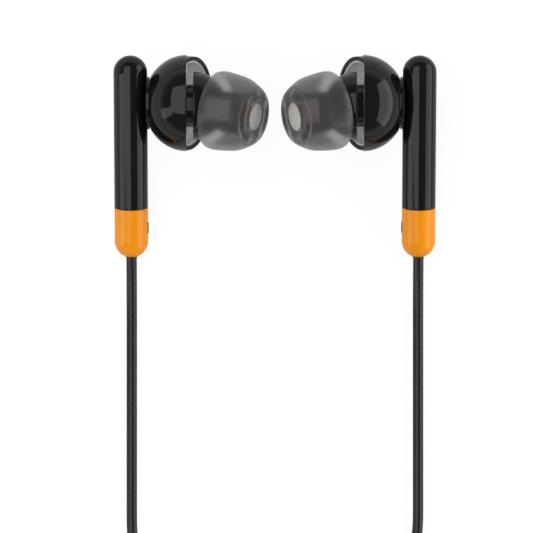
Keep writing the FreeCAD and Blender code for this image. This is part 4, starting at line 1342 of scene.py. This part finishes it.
# ---- plug -----------------------------------------------------------------------------------------
METAL_LENGTH = 14.0 * MM
SLEEVE_END = 8.0 * MM
RING_END = 10.4 * MM
RING_GAP = 0.6 * MM
CORE_R = 0.9 * MM  # bore of the contacts and their insulating rings
RIBS = 4


def plug_start():
    """Y of the grip's shoulder on the cord side."""
    return PLUG_END_Y + METAL_LENGTH + cords().grip_length


def along_plug(profile):
    """Turns a profile about the plug's axis, which runs down y from the grip's shoulder."""
    return aim(lathe(profile), (PLUG_X, plug_start(), PLUG_Z), (0, -1, 0))


def grip_grids():
    """Rubber grip: a ribbed relief that widens towards the shoulder, finger grooves and a rounded nose."""
    size = cords()
    radius, long = size.grip_radius, size.grip_length
    parts = [(-size.plug_relief, 0, 0), (-size.plug_relief, size.main_diameter / 2 + 0.35 * MM, 0.2 * MM)]
    for step in range(RIBS):
        start = -size.plug_relief + (0.9 + 1.3 * step) * MM
        wide = size.main_diameter / 2 + (0.38 + 0.17 * step) * MM
        end, groove = start + 0.5 * MM, wide - 0.3 * MM
        parts += [(start, wide, SOFT), (start, groove, SOFT)]
        parts += [(end, groove, SOFT), (end, wide + 0.05 * MM, SOFT)]
    parts += [(-0.6 * MM, radius - 1.0 * MM, 0.3 * MM), (0.3 * MM, radius, 0.5 * MM)]
    for step in range(RIBS):
        start = (3.0 + 1.6 * step) * MM
        parts.append((start, radius, 0.1 * MM))
        parts.append(arc((start + 0.4 * MM, radius), (-0.32 * MM, -0.35 * MM), 10, 170, 9))
        parts.append((start + 0.8 * MM, radius, 0.1 * MM))
    parts += [(long, radius, 0.7 * MM), (long, 0, 0)]
    return [(along_plug(outline(*parts, closed=False)), False)]


def contact(*parts):
    """One turned contact, whose corners are counted from the grip's nose."""
    base = cords().grip_length
    moved = [(p[0] + base, p[1], p[2]) if isinstance(p, tuple) else p + (base, 0) for p in parts]
    return [(along_plug(outline(*moved)), True)]


def gap_grids():
    """The two insulating rings, a hair below the contacts."""
    radius = cords().plug_radius - 0.02 * MM
    rings = []
    for start in (SLEEVE_END, RING_END):
        end = start + RING_GAP
        rings += contact((start, CORE_R, 0), (start, radius, 0), (end, radius, 0), (end, CORE_R, 0))
    return rings


class EARPHONES_OT_plug(bpy.types.Operator):
    """Makes the plug's grip, its three contacts and their insulating rings"""

    bl_idname = "earphones.plug"
    bl_label = "Plug"

    def execute(self, context):
        radius = cords().plug_radius
        shoulder = radius + 0.45 * MM
        add_piece("plug_handle", grip_grids(), "Soft Black Rubber", "plug_grip")
        barrel = contact(
            (-0.2 * MM, CORE_R, 0),
            (-0.2 * MM, shoulder, 0),
            (0.6 * MM, shoulder, ROUND),
            (0.6 * MM, radius, FINE),
            (SLEEVE_END, radius, FINE),
            (SLEEVE_END, CORE_R, 0),
        )
        add_piece("plug_barrel", barrel, "Gold Contact", "plug_sleeve")
        start = SLEEVE_END + RING_GAP
        end = RING_END
        ring = contact((start, CORE_R, 0), (start, radius, FINE), (end, radius, FINE), (end, CORE_R, 0))
        add_piece("plug_middle", ring, "Gold Contact", "plug_ring")
        start = RING_END + RING_GAP
        nose = contact(
            (start, 0.2 * MM, 0),
            (start, radius, FINE),
            (start + 0.3 * MM, radius, 0.08 * MM),
            (start + 0.9 * MM, 1.1 * MM, 0.3 * MM),
            (start + 1.5 * MM, radius - 0.15 * MM, 0.35 * MM),
            (METAL_LENGTH - 0.35 * MM, radius - 0.95 * MM, 0.4 * MM),
            (METAL_LENGTH, 0.2 * MM, FINE),
        )
        add_piece("plug_nose", nose, "Gold Contact", "plug_tip")
        add_piece("plug_gaps", gap_grids(), "Insulator Black", "plug_insulators")
        return {"FINISHED"}


# ---- stage ----------------------------------------------------------------------------------------
SENSOR_WIDTH = 36.0  # of the camera, in millimetres
TABLE_HALF = 6.0
TABLE_DROP = 0.02 * MM  # of the table below the lowest point, so that the two never share a plane


def add_soft_box(name, place, target, size, brightness):
    """Rectangular light that faces a point. Its power is brightness * pi * area, so that it looks equally
    bright at any size."""
    light = bpy.data.lights.new(name, "AREA")
    light.shape = "RECTANGLE"
    light.size, light.size_y = size
    light.energy = brightness * math.pi * size[0] * size[1]
    lamp = bpy.data.objects.new(name, light)
    lamp.location = place
    lamp.rotation_mode = "QUATERNION"
    way = [b - a for a, b in zip(place, target)]
    lamp.rotation_quaternion = Vector(way).to_track_quat("-Z", "Y")
    lamp.visible_camera = False
    bpy.context.scene.collection.objects.link(lamp)


def add_table():
    """Pale table top. Seen directly or through the tips it glows faintly, as on a light table, with soft
    shadows on top of the glow; to every other ray it is plain pale grey."""
    build, shader = new_finish("Pale Table", (0.9, 0.9, 0.9))
    shader.inputs["Base Color"].default_value = (0.8, 0.8, 0.8, 1.0)
    shader.inputs["Roughness"].default_value = 0.9
    shader.inputs["Specular IOR Level"].default_value = 0.0
    glow = build.add("ShaderNodeEmission", Color=(1.0, 1.0, 1.0, 1.0), Strength=0.93)
    seen = build.add("ShaderNodeBsdfDiffuse", Color=(0.10, 0.10, 0.10, 1.0))
    lit = build.fill(build.add("ShaderNodeAddShader"), (glow.outputs[0], seen.outputs[0]))
    path = build.add("ShaderNodeLightPath").outputs
    direct = build.math("MAXIMUM", path["Is Camera Ray"], path["Is Transmission Ray"])
    mixed = build.fill(build.add("ShaderNodeMixShader"), (direct, shader.outputs[0], lit.outputs[0]))
    out = next(n for n in build.tree.nodes if n.type == "OUTPUT_MATERIAL")
    build.join(mixed.outputs[0], out.inputs["Surface"])
    mesh = bpy.data.meshes.new("table_top")
    signs = [(-1, -1), (1, -1), (1, 1), (-1, 1)]
    mesh.from_pydata([(x * TABLE_HALF, y * TABLE_HALF, 0.0) for x, y in signs], [], [(0, 1, 2, 3)])
    mesh.materials.append(bpy.data.materials["Pale Table"])
    table = bpy.data.objects.new("table_top", mesh)
    table.location.z = -TABLE_DROP
    bpy.context.scene.collection.objects.link(table)


def add_room():
    """Even light from all round: bright near the horizon and dim overhead."""
    world = bpy.data.worlds.new("Room")
    world.use_nodes = True
    build = Tree(world.node_tree)
    background = world.node_tree.nodes["Background"]
    background.inputs["Color"].default_value = (1.0, 1.0, 1.0, 1.0)
    way = build.add("ShaderNodeSeparateXYZ", Vector=build.add("ShaderNodeTexCoord").outputs["Generated"])
    level = build.add(
        "ShaderNodeMapRange",
        {"interpolation_type": "SMOOTHSTEP"},
        Value=way.outputs["Z"],
        From_Min=0.05,
        From_Max=0.45,
        To_Min=stage().horizon,
        To_Max=stage().sky,
    )
    build.join(level.outputs[0], background.inputs["Strength"])
    bpy.context.scene.world = world


def add_camera():
    """Camera that looks straight down on the earpieces from far off."""
    size = stage()
    camera = bpy.data.objects.new("Camera", bpy.data.cameras.new("Camera"))
    camera.data.lens = size.lens
    camera.data.sensor_width = SENSOR_WIDTH
    height = size.view_width * size.lens / SENSOR_WIDTH
    camera.location = (size.view_x, size.view_y, BALL_Z + height)
    camera.data.clip_start, camera.data.clip_end = 0.05, 20.0
    bpy.context.scene.collection.objects.link(camera)
    bpy.context.scene.camera = camera


# Each box's place, the point that it faces, and its two sides
SOFT_BOXES = {
    "Ceiling Box": ((-0.27, 0.09, 0.50), (-0.27, 0.09, 0.0), (0.50, 0.70)),
    "Left Box": ((-0.56, -0.22, 0.30), (0.0, -0.17, 0.10), (0.22, 0.40)),
    "Right Box": ((0.52, 0.0, 0.22), (0.0, 0.0, 0.10), (1.0, 0.44)),
}


class EARPHONES_OT_stage(bpy.types.Operator):
    """Makes the table, the soft light and the camera"""

    bl_idname = "earphones.stage"
    bl_label = "Stage"

    def execute(self, context):
        light = stage().light
        add_camera()
        add_table()
        add_room()
        for name, facts in SOFT_BOXES.items():
            add_soft_box(name, *facts, light)
        bpy.context.scene.view_settings.view_transform = "Standard"
        return {"FINISHED"}


# ---- add-on ---------------------------------------------------------------------------------------
OPERATORS = (
    EARPHONES_OT_finishes,
    EARPHONES_OT_stems,
    EARPHONES_OT_housings,
    EARPHONES_OT_nozzles,
    EARPHONES_OT_tips,
    EARPHONES_OT_splitter_and_tie,
    EARPHONES_OT_plug,
    EARPHONES_OT_cords,
    EARPHONES_OT_stage,
)
SETTINGS = {
    "earphone_sizes": EarpieceSizes,
    "earphone_pod": PodSizes,
    "earphone_cords": CordSizes,
    "earphone_colours": FinishColours,
    "earphone_stage": StageSettings,
}


class EARPHONES_PT_panel(bpy.types.Panel):
    """Lists the earphones' pieces in the 3D view's sidebar"""

    bl_idname = "EARPHONES_PT_panel"
    bl_label = "Wired Earphones"
    bl_space_type = "VIEW_3D"
    bl_region_type = "UI"
    bl_category = "Earphones"

    def draw(self, context):
        for operator in OPERATORS:
            self.layout.operator(operator.bl_idname)
        for setting, kind in SETTINGS.items():
            column = self.layout.column(align=True)
            for name in kind.__annotations__:
                column.prop(getattr(context.scene, setting), name)


CLASSES = (*SETTINGS.values(), *OPERATORS, EARPHONES_PT_panel)


def register():
    for item in CLASSES:
        bpy.utils.register_class(item)
    for setting, kind in SETTINGS.items():
        setattr(bpy.types.Scene, setting, PointerProperty(type=kind))


def unregister():
    for setting in SETTINGS:
        delattr(bpy.types.Scene, setting)
    for item in reversed(CLASSES):
        bpy.utils.unregister_class(item)


def main():
    """Builds everything over the frame."""
    register()
    bpy.ops.earphones.finishes()
    bpy.ops.earphones.stems()
    bpy.ops.earphones.housings()
    bpy.ops.earphones.nozzles()
    bpy.ops.earphones.tips()
    bpy.ops.earphones.splitter_and_tie()
    bpy.ops.earphones.plug()
    bpy.ops.earphones.cords()
    bpy.ops.earphones.stage()


if __name__ == "__main__":
    main()
